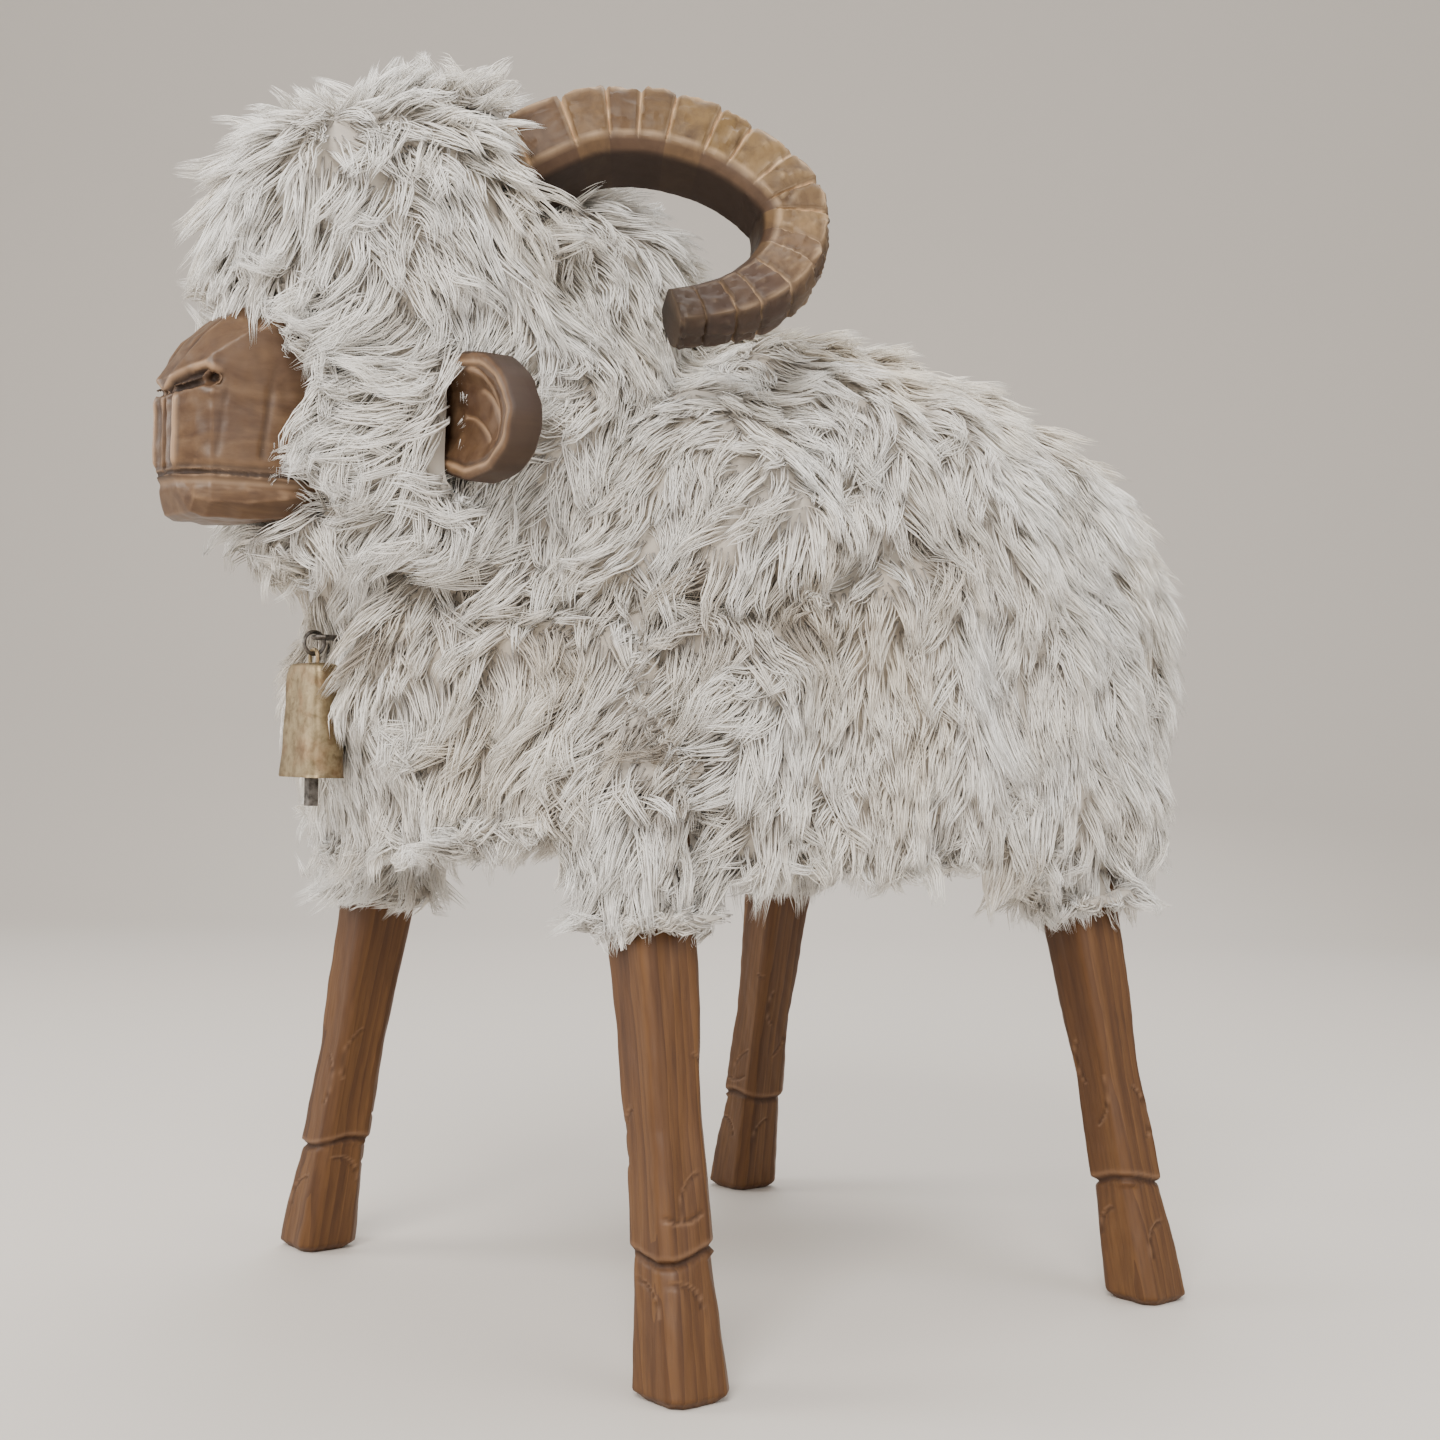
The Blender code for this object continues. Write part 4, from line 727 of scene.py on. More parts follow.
def makeWool():
    dice = np.random.default_rng(woolLook["seed"])
    finish = woolFinish()
    skin, hidden = makeSkin(finish)
    mesh = skin.data
    points = vertsOf(mesh)
    faces = [tuple(f.vertices) for f in mesh.polygons]
    tree = BVHTree.FromPolygons([tuple(p) for p in points], faces)
    root, normal = skinRoots(skin, hidden, woolLook["locks"] * 3, dice)
    keep = spread(root, woolLook["rootGap"])[:woolLook["locks"]]
    print("locks", len(keep))
    root, normal = root[keep], normal[keep]
    guides, guideNormals, length, tint = growGuides(root, normal, tree, dice)
    # a lock's tint varies at random; in the folds it is pushed warmer and darker as painted shade
    tint = np.clip(tint + 0.22 * ripple(root, 0.06, 51) + 0.12 * ripple(root, 0.02, 52)
                   - 0.75 * foldShade(root), 0, 1)
    # painted shade in the folds and between clumps: it lowers v, so those strands take the darker root
    # colours
    paintedShade = np.clip(1.05 * foldShade(root) + 0.32 * np.clip(-ripple(root, 0.030, 77), 0, 1), 0, 0.90)
    names = fleeceNodes()
    ownerOfLock = nearestNodes(root, names)
    mesh.calc_loop_triangles()
    triangles = np.array([tuple(t.vertices) for t in mesh.loop_triangles])
    ownerOfFace = nearestNodes(points[triangles].mean(axis=1), names)
    # the short wool under the locks gets a warmer, darker tint, darker still in the folds: painted shade
    skinTintAndShade = np.clip(combed(points)[3] - 0.35 - 0.6 * foldShade(points), 0, 1)
    facesEach = 2 * 3 * (woolLook["rings"] - 2) + 4
    for index, name in enumerate(names):
        locks = np.flatnonzero(ownerOfLock == index)
        most = max(1, math.ceil(len(locks) * woolLook["strands"] * facesEach / woolLook["mostFaces"]))
        locks = locks[np.argsort(root[locks, 1] + root[locks, 0] * 0.01)]
        mine = triangles[ownerOfFace == index]
        for part, group in enumerate(np.array_split(locks, most)):
            body, tips, shade, share, owner = strandsOn(guides[group], guideNormals[group], length[group],
                                                        tint[group],
                                                        dice)
            if part == 0 and len(mine):
                used, where = np.unique(mine, return_inverse=True)
                skinPart = points[used], where.reshape(-1, 3), skinTintAndShade[used]
            else:
                skinPart = np.zeros((0, 3)), np.zeros((0, 3), int), np.zeros(0)
            words = name.replace("fleece_", "wool_").split("_")
            label = words[0] + "".join(w.title() for w in words[1:]) + ("ABCDEF"[part] if most > 1 else "")
            piece = threadMesh(label, skinPart, body, tips, shade, share, paintedShade[group][owner], finish)
            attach(piece, "ram")
            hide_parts(name)
    bpy.data.objects.remove(skin)


legLook = {
    "footX": 0.178, "footY": 0.160, "leanX": 0.219, "leanY": 0.052, "centreY": 0.043, "topZ": 0.335,
    "around": 56, "rings": 190,
    "hoofLine": 0.0640, "hoofEdge": 0.0672,
    # height, thickness and corner cut
    "profile": [(0.0, 0.0280, 0.0050), (0.004, 0.0360, 0.0050), (0.035, 0.0342, 0.0060),
                (0.0624, 0.0311, 0.0065),
                (0.0640, 0.0327, 0.0050), (0.120, 0.0295, 0.0040), (0.1615, 0.03225, 0.0040),
                (0.203, 0.035, 0.0040),
                (0.335, 0.035, 0.0040)],
    # arcs cut with a gouge: face, middle along the face, height, radius, from and to in turns, depth
    "arcs": [(0, -0.010, 0.040, 0.013, 0.02, 0.30, 0.0011), (0, -0.004, 0.100, 0.020, 0.60, 0.85, 0.0010),
             (0, 0.012, 0.085, 0.016, 0.30, 0.55, 0.0009), (0, 0.000, 0.128, 0.026, 0.05, 0.20, 0.0008),
             (1, 0.006, 0.030, 0.015, 0.30, 0.52, 0.0011), (1, -0.014, 0.108, 0.024, 0.85, 1.05, 0.0010),
             (1, 0.010, 0.122, 0.018, 0.40, 0.62, 0.0009), (2, 0.006, 0.035, 0.014, 0.25, 0.55, 0.0011),
             (2, -0.010, 0.105, 0.020, 0.90, 1.15, 0.0010), (3, -0.006, 0.038, 0.014, 0.0, 0.28, 0.0011),
             (3, 0.010, 0.110, 0.022, 0.35, 0.58, 0.0010)],
}


def pinched(distance, width):
    return np.exp(-(distance / width) ** 2)


def makeLegs(finish):
    profile = np.array(legLook["profile"])
    around = legLook["around"]
    heights = np.concatenate([np.linspace(0, 0.215, legLook["rings"] - 12), np.linspace(0.225, 0.335, 12)])
    turns = (np.arange(around) + 0.5) / around * 2 * math.pi
    for index, (corner, (side, end)) in enumerate(corners.items()):
        z, turn = np.meshgrid(heights, turns, indexing="ij")
        half = np.interp(z, profile[:, 0], profile[:, 1]) / 2
        cut = np.interp(z, profile[:, 0], profile[:, 2])
        c, s = np.abs(np.cos(turn)), np.abs(np.sin(turn))
        reach = np.minimum(np.minimum(half / np.maximum(c, 1e-6), half / np.maximum(s, 1e-6)),
                           (2 * half - cut) / (c + s))
        # each face counts from 0 at +X; share runs along it
        face = np.floor((turn + math.pi / 4) / (math.pi / 2)) % 4
        across = np.where(face % 2 == 0, reach * np.sin(turn) * np.sign(np.cos(turn)),
                          -reach * np.cos(turn) * np.sign(np.sin(turn)))
        flat = np.stack([reach * np.cos(turn), reach * np.sin(turn), z * 0.45], -1).reshape(-1, 3)
        shape = z.shape
        wander = 0.0015 * np.sin(turn + index) + 0.0018 * np.sin(turn * 2 + index * 1.7)
        hoofLine = np.abs(z - (legLook["hoofLine"] + wander))
        notch = 0.0024 * pinched(hoofLine, 0.0016)
        # painted shade in the hoof-line cut, and a painted highlight along its upper edge
        groove = pinched(hoofLine, 0.0017)
        bright = pinched(np.abs(z - (legLook["hoofEdge"] + wander)), 0.0012)
        for which, middle, height, radius, start, stop, depth in legLook["arcs"]:
            which = (which + index) % 4
            height = height + 0.006 * math.sin(index * 2.4 + which)
            du, dz = across - middle, z - height
            away = np.abs(np.hypot(du, dz) - radius)
            angle = (np.arctan2(dz, du) / (2 * math.pi)) % 1
            span = ((angle - start) % 1) < (stop - start)
            mark = pinched(away, 0.0008) * (face == which) * span
            notch = notch + depth * mark
            # painted shade in each gouge, and a painted highlight just beside it
            groove = np.maximum(groove, mark * 0.65)
            bright = np.maximum(bright, pinched(np.abs(np.hypot(du, dz) - radius - 0.0013), 0.0006)
                                * (face == which) * span)
        shave = 0.00045 * ripple(flat, 0.022, 70 + index).reshape(shape)
        shave = shave + 0.0002 * ripple(flat, 0.006, 80 + index).reshape(shape)
        reach = reach - notch + shave - 0.0003
        cornerEdge = pinched(np.abs(c - s), 0.14)
        x = side * (legLook["footX"] - legLook["leanX"] * z) + reach * np.cos(turn)
        y = end * (legLook["footY"] - legLook["leanY"] * z) + legLook["centreY"] + reach * np.sin(turn)
        points = np.stack([x, y, z], -1).reshape(-1, 3)
        name = "leg" + "".join(w.title() for w in corner.split("_"))
        piece = meshFrom(name, points, ringFaces(len(heights), around), finish)
        worn = cornerEdge * (0.4 + 0.6 * np.clip(ripple(flat, 0.03, 90 + index).reshape(shape), 0, 1))
        setCarried(piece.data, "carve", np.stack([groove, worn, bright * 0.9], -1).reshape(-1, 3))
        base = Vector((side * legLook["footX"], end * legLook["footY"] + legLook["centreY"], 0))
        along = Vector((-side * legLook["leanX"], -end * legLook["leanY"], 1)).normalized()
        place = Matrix.Translation(base) @ along.to_track_quat("Z", "Y").to_matrix().to_4x4()
        piece.data.transform(place.inverted())
        piece.matrix_world = place
        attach(piece, "ram")
        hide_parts(f"leg_{corner}")


def hollowness(mesh, rounds=2):
    # above zero on edges that stand out, below zero in grooves
    points, normals = vertsOf(mesh), normalsOf(mesh)
    ends = np.empty(len(mesh.edges) * 2, np.int32)
    mesh.edges.foreach_get("vertices", ends)
    ends = ends.reshape(-1, 2)
    count = np.bincount(ends.ravel(), minlength=len(points))[:, None]
    near = points.copy()
    for _ in range(rounds):
        total = np.zeros_like(points)
        np.add.at(total, ends[:, 0], near[ends[:, 1]])
        np.add.at(total, ends[:, 1], near[ends[:, 0]])
        near = total / np.maximum(count, 1)
    return np.sum((points - near) * normals, axis=1)


headLook = {"frontY": -0.298, "splitY": -0.182, "mouthZ": 0.4195, "muzzleVoxel": 0.0009, "crownVoxel": 0.0030}


def makeHead(finish):
    slabs = {"headMuzzle": (-0.5, headLook["splitY"], headLook["muzzleVoxel"]),
             "headCrown": (headLook["splitY"], 0.5, headLook["crownVoxel"])}
    for label, (low, high, voxel) in slabs.items():
        piece = fromNodes(label, ["head_block"], voxel, 1, finish, (low, high))
        carveHead(piece.data)
        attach(piece, "ram")
        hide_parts("head_block")


def carveHead(mesh):
    points, normals = vertsOf(mesh), normalsOf(mesh)
    x, ahead, z = np.abs(points[:, 0]), points[:, 1] - headLook["frontY"], points[:, 2]
    muzzle = 1 - smoothStep(0.075, 0.095, ahead)
    half = np.stack([x, points[:, 1], z], 1)
    # broad flat knife cuts: waves clipped into planes
    rise = 0.0006 * (np.abs(ripple(points, 0.030, 61)) - 0.5) + 0.00020 * ripple(points, 0.008, 62)
    # the crescent over each nostril, from the parting of the lip up to the nostril
    crescent = [(0.0030, -0.2990, 0.4640), (0.0080, -0.2975, 0.4690), (0.0150, -0.2935, 0.4730),
                (0.0220, -0.2880, 0.4730), (0.0262, -0.2830, 0.4685)]
    cutLine = lineDistance(half, crescent)
    rise -= 0.0034 * pinched(cutLine, 0.0024)
    brow = lineDistance(half, [(a, b, c + 0.0040) for a, b, c in crescent])
    rise += 0.0011 * pinched(brow, 0.0026)
    under = lineDistance(half, [(a, b, c - 0.0045) for a, b, c in crescent[1:]])
    rise -= 0.0012 * pinched(under, 0.0030)
    # upright ridges on the upper lip, and the hollow between them and the parting
    lip = smoothStep(0.421, 0.426, z) * (1 - smoothStep(0.456, 0.464, z))
    lip = lip * (1 - smoothStep(0.006, 0.012, ahead))
    rise += lip * (0.0012 * pinched(x - 0.0105, 0.0012) - 0.0009 * pinched(x - 0.0060, 0.0024))
    side = muzzle * smoothStep(0.006, 0.012, ahead)
    for place, depth in ((0.0165, 0.0007), (0.0370, 0.0009), (0.0560, 0.0007)):
        slant = ahead - place - (z - 0.44) * 0.12
        gouge = side * depth * pinched(slant, 0.0022) * smoothStep(0.424, 0.430, z)
        rise -= gouge * (1 - smoothStep(0.455, 0.475, z))
    # bevels above and below the mouth, and a lighter cut along the top of the lower lip
    near = z - headLook["mouthZ"]
    rise -= muzzle * (0.0007 * pinched(near - 0.0030, 0.0016) + 0.0012 * pinched(near + 0.0040, 0.0022))
    chin = muzzle * (1 - smoothStep(0.404, 0.409, z))
    rise -= 0.0006 * chin * pinched(ahead - 0.022, 0.006)
    # a long hollow down each side of the bridge of the nose
    rise -= smoothStep(0.478, 0.490, z) * muzzle * 0.0010 * pinched(x - 0.0080, 0.0020)
    moved = points + normals * rise[:, None]
    moved[:, 2] -= 0.0095 * (1 - smoothStep(0.0, 0.036, ahead)) * smoothStep(0.446, 0.474, z)
    mesh.vertices.foreach_set("co", moved.astype(np.float32).ravel())
    mesh.update()
    mesh.shade_smooth()
    bend = hollowness(mesh, 3)
    # painted shade in the hollows, the nostril cuts and the mouth line
    groove = np.clip(-bend / 0.00030, 0, 1)
    groove = np.maximum(groove, pinched(cutLine, 0.0027) * 0.95)
    groove = np.maximum(groove, pinched(near, 0.0022) * muzzle * 0.9)
    # painted highlights on the standing edges, the lip ridges, the brow over the nostrils and the top of the
    # lower lip
    edge = np.clip(bend / 0.00035 - 0.15, 0, 1)
    bright = np.clip(pinched(x - 0.0105, 0.0011) * lip * 1.0 + pinched(brow, 0.0012) * 0.6
                     + pinched(near + 0.0042, 0.0013) * muzzle * 0.5
                     + edge * np.clip(ripple(points, 0.012, 63), 0, 1), 0, 1)
    setCarried(mesh, "carve", np.stack([groove, edge, bright], 1))


earLook = {
    "thickness": 0.018, "middleY": -0.183, "reach": 0.091, "height": 0.062, "rootX": 0.0453, "rootZ": 0.451,
    "bevel": 0.0026,
    "arcs": [(0.046, -0.006, 0.026, 0.02, 0.22), (0.048, -0.016, 0.026, 0.00, 0.20),
             (0.040, -0.030, 0.028, 0.08, 0.24)],
    "outline": [(0.0, 0.28), (0.22, 0.40), (0.48, 0.46), (0.72, 0.40), (0.90, 0.22), (1.0, -0.06),
                (0.95, -0.32),
                (0.80, -0.49), (0.56, -0.54), (0.30, -0.44), (0.0, -0.26)],
    "around": 120, "rings": 34, "dish": 0.0050,
}


def roundedLoop(points, count, rounds=3):
    # an even loop through the points, its corners eased
    loop = np.array(points, float)
    ends = np.concatenate([loop, loop[:1]])
    run = np.concatenate([[0], np.cumsum(np.linalg.norm(np.diff(ends, axis=0), axis=1))])
    at = np.linspace(0, run[-1], count, endpoint=False)
    even = np.stack([np.interp(at, run, ends[:, i]) for i in range(loop.shape[1])], 1)
    for _ in range(rounds):
        even = even * 0.5 + (np.roll(even, 1, 0) + np.roll(even, -1, 0)) * 0.25
    return even


def makeEars(finish):
    look = earLook
    outline = roundedLoop([(u * look["reach"], v * look["height"]) for u, v in look["outline"]],
                          look["around"], 4)
    heart = np.array([look["reach"] * 0.46, -0.002])
    shares = 1 - np.linspace(0, 1, look["rings"]) ** 1.15 * 0.985
    points = []
    half = look["thickness"] / 2
    bevel = look["bevel"]
    layers = []
    for front in (True, False):
        rows = []
        for share in shares:
            flat = heart + (outline - heart) * share
            inside = 1 - share
            edgeDistance = inside * np.linalg.norm(outline - heart, axis=1)
            depth = half - bevel * np.clip(1 - edgeDistance / bevel, 0, 1) ** 1.6
            mark = np.zeros((len(flat), 3))
            if front:
                dish = look["dish"] * smoothStep(0.0055, 0.020, edgeDistance)
                dish = dish * smoothStep(0.0, 0.02, flat[:, 0])
                rim = pinched(edgeDistance - 0.0068, 0.0010)
                u, v = flat[:, 0], flat[:, 1]
                arcs = np.zeros(len(flat))
                for cx, cy, radius, low, high in look["arcs"]:
                    angle = (np.arctan2(v - cy, u - cx) / (2 * math.pi) + 0.25) % 1 - 0.25
                    span = (angle > low) & (angle < high) | (angle + 1 > low) & (angle + 1 < high)
                    arcs = np.maximum(arcs, pinched(np.hypot(u - cx, v - cy) - radius, 0.0009) * span)
                depth = depth - dish - 0.0016 * arcs - 0.0009 * rim
                # painted shade inside the rim groove, and a painted highlight on the rim and along the carved
                # arcs
                mark[:, 0] = np.maximum(pinched(edgeDistance - 0.0078, 0.0010) * 0.5, 0)
                mark[:, 2] = np.clip(pinched(edgeDistance - 0.0052, 0.0011) + arcs, 0, 1)
            onEar = np.stack([look["rootX"] + flat[:, 0],
                              np.full(len(flat), look["middleY"]) + depth * (-1 if front else 1),
                              look["rootZ"] + flat[:, 1]], 1)
            wobble = 0.0003 * ripple(onEar, 0.012, 64)
            onEar[:, 1] += wobble * (1 if front else -1)
            # painted shade along the outline of the ear
            mark[:, 0] = np.maximum(mark[:, 0], 0.8 * (edgeDistance < 0.0012))
            rows.append(onEar)
            layers.append(mark)
        points.append(rows)
    ringList = points[0][::-1] + points[1]
    markList = layers[:len(shares)][::-1] + layers[len(shares):]
    allPoints = np.concatenate(ringList)
    allMarks = np.concatenate(markList)
    for name, side in sides.items():
        turned = allPoints * np.array([side, 1, 1])
        piece = meshFrom("ear" + name.title(), turned, ringFaces(len(ringList), look["around"]), finish)
        setCarried(piece.data, "carve", allMarks)
        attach(piece, "ram")
        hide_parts(f"ear_{name}")


hornLook = {
    "path": [(0.012, 0.236, 0.536), (0.030, 0.212, 0.556), (0.048, 0.190, 0.577), (0.070, 0.163, 0.595),
             (0.085, 0.142, 0.600), (0.100, 0.122, 0.598), (0.116, 0.102, 0.590), (0.130, 0.086, 0.576),
             (0.142, 0.078, 0.558), (0.150, 0.084, 0.538), (0.155, 0.099, 0.520), (0.155, 0.118, 0.507),
             (0.151, 0.136, 0.500), (0.145, 0.154, 0.496), (0.138, 0.170, 0.494)],
    "curl": (0.118, -0.125, 0.548), "shift": 0.043, "blocks": 18, "around": 72,
    "ringShares": [0.0, 0.045, 0.10, 0.17, 0.30, 0.45, 0.60, 0.75, 0.88, 0.95], "cutWidth": 0.045,
    "baseScale": 1.12, "tipScale": 0.66, "groove": 0.0022, "seatX": 0.0453,
    "section": [(0.0175, 0.0150), (0.0200, 0.0040), (0.0197, -0.0120), (0.0145, -0.0178), (-0.0095, -0.0225),
                (-0.0180, -0.0145), (-0.0185, 0.0040), (-0.0110, 0.0165), (0.0040, 0.0185)],
    "innerSwell": 0.26,
}


def hornPoint(t):
    path = [Vector((x, -ahead, z)) for x, ahead, z in hornLook["path"]]
    span = min(int(t), len(path) - 4)
    u = t - span
    a, b, c, d = path[span:span + 4]
    place = 0.5 * (2 * b + (c - a) * u + (2 * a - 5 * b + 4 * c - d) * u * u
                   + (3 * b - a - 3 * c + d) * u ** 3)
    along = 0.5 * ((c - a) + 2 * (2 * a - 5 * b + 4 * c - d) * u + 3 * (3 * b - a - 3 * c + d) * u * u)
    return place, along.normalized()


def makeHorns(finish):
    look = hornLook
    dice = np.random.default_rng(5)
    section = roundedLoop(look["section"], look["around"], 1)
    # how far each point of the section is on the ribbed faces, which look outward and away from the curl
    across, outward = section[:, 0], section[:, 1]
    ribbed = np.clip(smoothStep(0.0150, 0.0172, across)
                     + smoothStep(0.0120, 0.0145, outward) * (across > -0.014), 0, 1)
    ribbed *= 1 - smoothStep(0.0108, 0.0130, -outward)
    frontEdge = pinched(np.hypot(across - 0.0175, outward - 0.0150), 0.0016)
    innerEdge = pinched(np.hypot(across - 0.0196, outward + 0.0118), 0.0013)
    blockShift = dice.uniform(-0.0010, 0.0009, look["blocks"] + 1)
    blockTilt = dice.uniform(-0.0014, 0.0014, look["blocks"] + 1)
    blockTone = dice.uniform(0.15, 0.9, look["blocks"] + 1)
    edges = (np.arange(look["blocks"] + 1)
             + np.concatenate([[0], dice.uniform(-0.18, 0.18, look["blocks"] - 1), [0]]))
    steps = [edges[b] + (edges[b + 1] - edges[b]) * s for b in range(look["blocks"])
             for s in look["ringShares"]] + [look["blocks"]]
    curl = Vector(look["curl"])
    spans = len(look["path"]) - 3
    rings, hornMarks, blockMarks = [], [], []
    for step in steps:
        block = int(np.searchsorted(edges, step, side="right") - 1)
        block = min(max(block, 0), look["blocks"] - 1)
        local = (step - edges[block]) / (edges[block + 1] - edges[block])
        t = step / look["blocks"]
        place, along = hornPoint(t * spans * 0.99999)
        away = place - curl
        away = (away - along * away.dot(along)).normalized()
        over = along.cross(away)
        if over.x < 0:
            over = -over
        scale = look["baseScale"] + (look["tipScale"] - look["baseScale"]) * t
        gap = min(local, 1 - local)
        cut = math.exp(-(gap / look["cutWidth"]) ** 2)
        crown = 0.0005 * math.sin(math.pi * local)
        shift = blockShift[block] + blockTilt[block] * (local - 0.5) + crown - look["groove"] * cut
        awayFromMiddle = section / np.linalg.norm(section, axis=1, keepdims=True)
        shaped = section + awayFromMiddle * (shift * ribbed)[:, None]
        shaped[:, 1] *= np.where(shaped[:, 1] < 0, 1 + look["innerSwell"] * math.sin(math.pi * t) ** 2, 1)
        ring = np.array(place) + (np.outer(shaped[:, 0], over) + np.outer(shaped[:, 1], away)) * scale
        ring[:, 1] += look["shift"]
        rings.append(ring)
        endFade = 1 - smoothStep(0.93, 1.0, t)
        # painted highlights along the seams between blocks and on the two ribbed edges
        pale = cut * ribbed * (0.55 + 0.45 * endFade)
        pale = np.maximum(pale, (frontEdge * 0.55 + innerEdge * 0.7) * ribbed
                          * (0.4 + 0.6 * math.sin(math.pi * local)))
        hornMarks.append(np.stack([np.full(len(section), t), ribbed,
                                   np.clip(pale * (1 - 0.75 * smoothStep(0.85, 0.97, t)), 0, 1)], 1))
        # painted shade on the inner and back faces, on the outer face along the middle of the horn, and at
        # the trailing end of each block
        darkFace = smoothStep(0.0165, 0.0182, -outward) + smoothStep(0.0150, 0.0175, -across)
        darkFace = darkFace + 0.6 * smoothStep(0.0155, 0.0175, outward) * smoothStep(0.3, 0.5, t)
        darkEdge = 0.5 * pinched(local - 0.93, 0.05) * ribbed
        blockMarks.append(np.stack([np.clip(darkFace + darkEdge, 0, 1),
                                    np.full(len(section), blockTone[block]),
                                    np.zeros(len(section))], 1))
    points = np.concatenate(rings)
    chipsAndGlints = ripple(points, 0.007, 65) + 0.6 * ripple(points, 0.0035, 66)
    hornMarks, blockMarks = np.concatenate(hornMarks), np.concatenate(blockMarks)
    middle = np.repeat(np.array([r.mean(axis=0) for r in rings]), look["around"], axis=0)
    outwards = unit(points - middle)
    points = points + outwards * (0.00050 * np.round(chipsAndGlints * 1.6) / 1.6 * hornMarks[:, 1]
                                  + 0.00012 * chipsAndGlints)[:, None]
    # a painted highlight on the raised chips of the ribbed faces
    blockMarks[:, 2] = np.clip(chipsAndGlints - 0.75, 0, 1) * hornMarks[:, 1] * smoothStep(0.25, 0.55, hornMarks[:, 0])
    for name, side in sides.items():
        kept = points.copy()
        kept[:, 0] = np.maximum(kept[:, 0], look["seatX"])
        piece = meshFrom("horn" + name.title(), kept * np.array([side, 1, 1]),
                         ringFaces(len(rings), look["around"]),
                         finish)
        piece.data.set_sharp_from_angle(angle=math.radians(24))
        setCarried(piece.data, "horn", hornMarks)
        setCarried(piece.data, "blocks", blockMarks)
        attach(piece, "ram")
        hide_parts(f"horn_{name}")


bellLook = {"topZ": 0.33405, "rimZ": 0.27805, "y": -0.218, "topX": 0.0166, "topY": 0.0076, "rimX": 0.0199,
            "rimY": 0.0103, "wall": 0.0012, "around": 96, "power": 0.45, "dent": 0.00035}


def makeBell(finish):
    look = bellLook
    turns = (np.arange(look["around"]) + 0.5) / look["around"] * 2 * math.pi
    c, s = np.cos(turns), np.sin(turns)
    flatX = np.abs(c) ** look["power"] * np.sign(c)
    flatY = np.abs(s) ** look["power"] * np.sign(s)
    drop = look["rimZ"] - look["topZ"]
    outer = [(0.0, 0.35), (0.0, 0.70), (0.004, 0.80), (0.016, 0.90), (0.035, 0.955), (0.06, 0.985),
             (0.10, 1.0)]
    outer += [(share, 1.0) for share in np.linspace(0.14, 0.97, 22)] + [(0.985, 1.006), (1.0, 1.004)]
    rings = []
    for inner in (False, True):
        rows = []
        for share, full in outer:
            halfX = (look["topX"] + (look["rimX"] - look["topX"]) * share) * full
            halfY = (look["topY"] + (look["rimY"] - look["topY"]) * share) * full
            z = look["topZ"] + drop * share
            if inner:
                halfX, halfY = halfX - look["wall"], halfY - look["wall"]
                z = min(z, look["topZ"] - look["wall"])
            ring = np.stack([halfX * flatX, halfY * flatY, np.full(len(turns), z)], 1)
            if not inner and 0.08 < share < 0.99:
                ring[:, :2] *= 1 + (look["dent"] * ripple(ring, 0.016, 67) / 0.014)[:, None]
                fold = pinched(ring[:, 0] - 0.0015, 0.0012) * (ring[:, 1] < 0)
                ring[:, 1] -= 0.0003 * fold
            rows.append(ring + np.array([0, look["y"], 0]))
        rings.append(rows)
    loops = rings[0] + rings[1][::-1]
    piece = meshFrom("bellBody", np.concatenate(loops), ringFaces(len(loops), look["around"]), finish)
    piece.data.set_sharp_from_angle(angle=math.radians(40))
    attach(piece, "bell")
    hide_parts("bell_body")


def makeStuffing(foam):
    for label, node, voxel, fill in (("seatCushion", "seat_cushion", 0.006, 0.8),
                                     ("sidePadLeft", "side_pad_left", 0.003, 0.5),
                                     ("sidePadRight", "side_pad_right", 0.003, 0.5)):
        piece = fromNodes(label, [node], voxel, 2, foam)
        points, normals = vertsOf(piece.data), normalsOf(piece.data)
        piece.data.vertices.foreach_set("co", (points + normals
                                               * (0.0005 * ripple(points, 0.03, 68) - 0.0007)[:, None])
                                        .astype(np.float32).ravel())
        piece.data.update()
        piece.data.shade_smooth()
        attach(piece, "ram")
        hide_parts(node)


def makeDustCover(hessian):
    low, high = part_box("dust_cover")
    cover = {"columns": 61, "rows": 81, "thick": high[2] - low[2]}
    xs = np.linspace(low[0], high[0], cover["columns"])
    ys = np.linspace(low[1], high[1], cover["rows"])
    gridX, gridY = np.meshgrid(xs, ys)
    u = (gridX - low[0]) / (high[0] - low[0])
    v = (gridY - low[1]) / (high[1] - low[1])
    sag = 0.0006 * np.sin(math.pi * u) * np.sin(math.pi * v)
    pucker = 0.00012 * np.sin(u * 60) * (pinched(v, 0.03) + pinched(1 - v, 0.03))
    top = np.stack([gridX, gridY, high[2] - 0.0002 - sag + pucker], -1).reshape(-1, 3)
    bottom = np.stack([gridX, gridY, high[2] - 0.0011 - sag + pucker], -1).reshape(-1, 3)
    nx, ny = cover["columns"], cover["rows"]
    faces = []
    for j in range(ny - 1):
        for i in range(nx - 1):
            a = j * nx + i
            faces.append((a, a + 1, a + nx + 1, a + nx))
            faces.append((a + nx * ny, a + nx + nx * ny, a + nx + 1 + nx * ny, a + 1 + nx * ny))
    rim = [i for i in range(nx)] + [j * nx + nx - 1 for j in range(1, ny)] \
        + [(ny - 1) * nx + i for i in range(nx - 2, -1, -1)] + [j * nx for j in range(ny - 2, 0, -1)]
    for a, b in zip(rim, rim[1:] + rim[:1]):
        faces.append((a, a + nx * ny, b + nx * ny, b))
    piece = meshFrom("dustCover", np.concatenate([top, bottom]), faces, hessian)
    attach(piece, "ram")
    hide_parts("dust_cover")


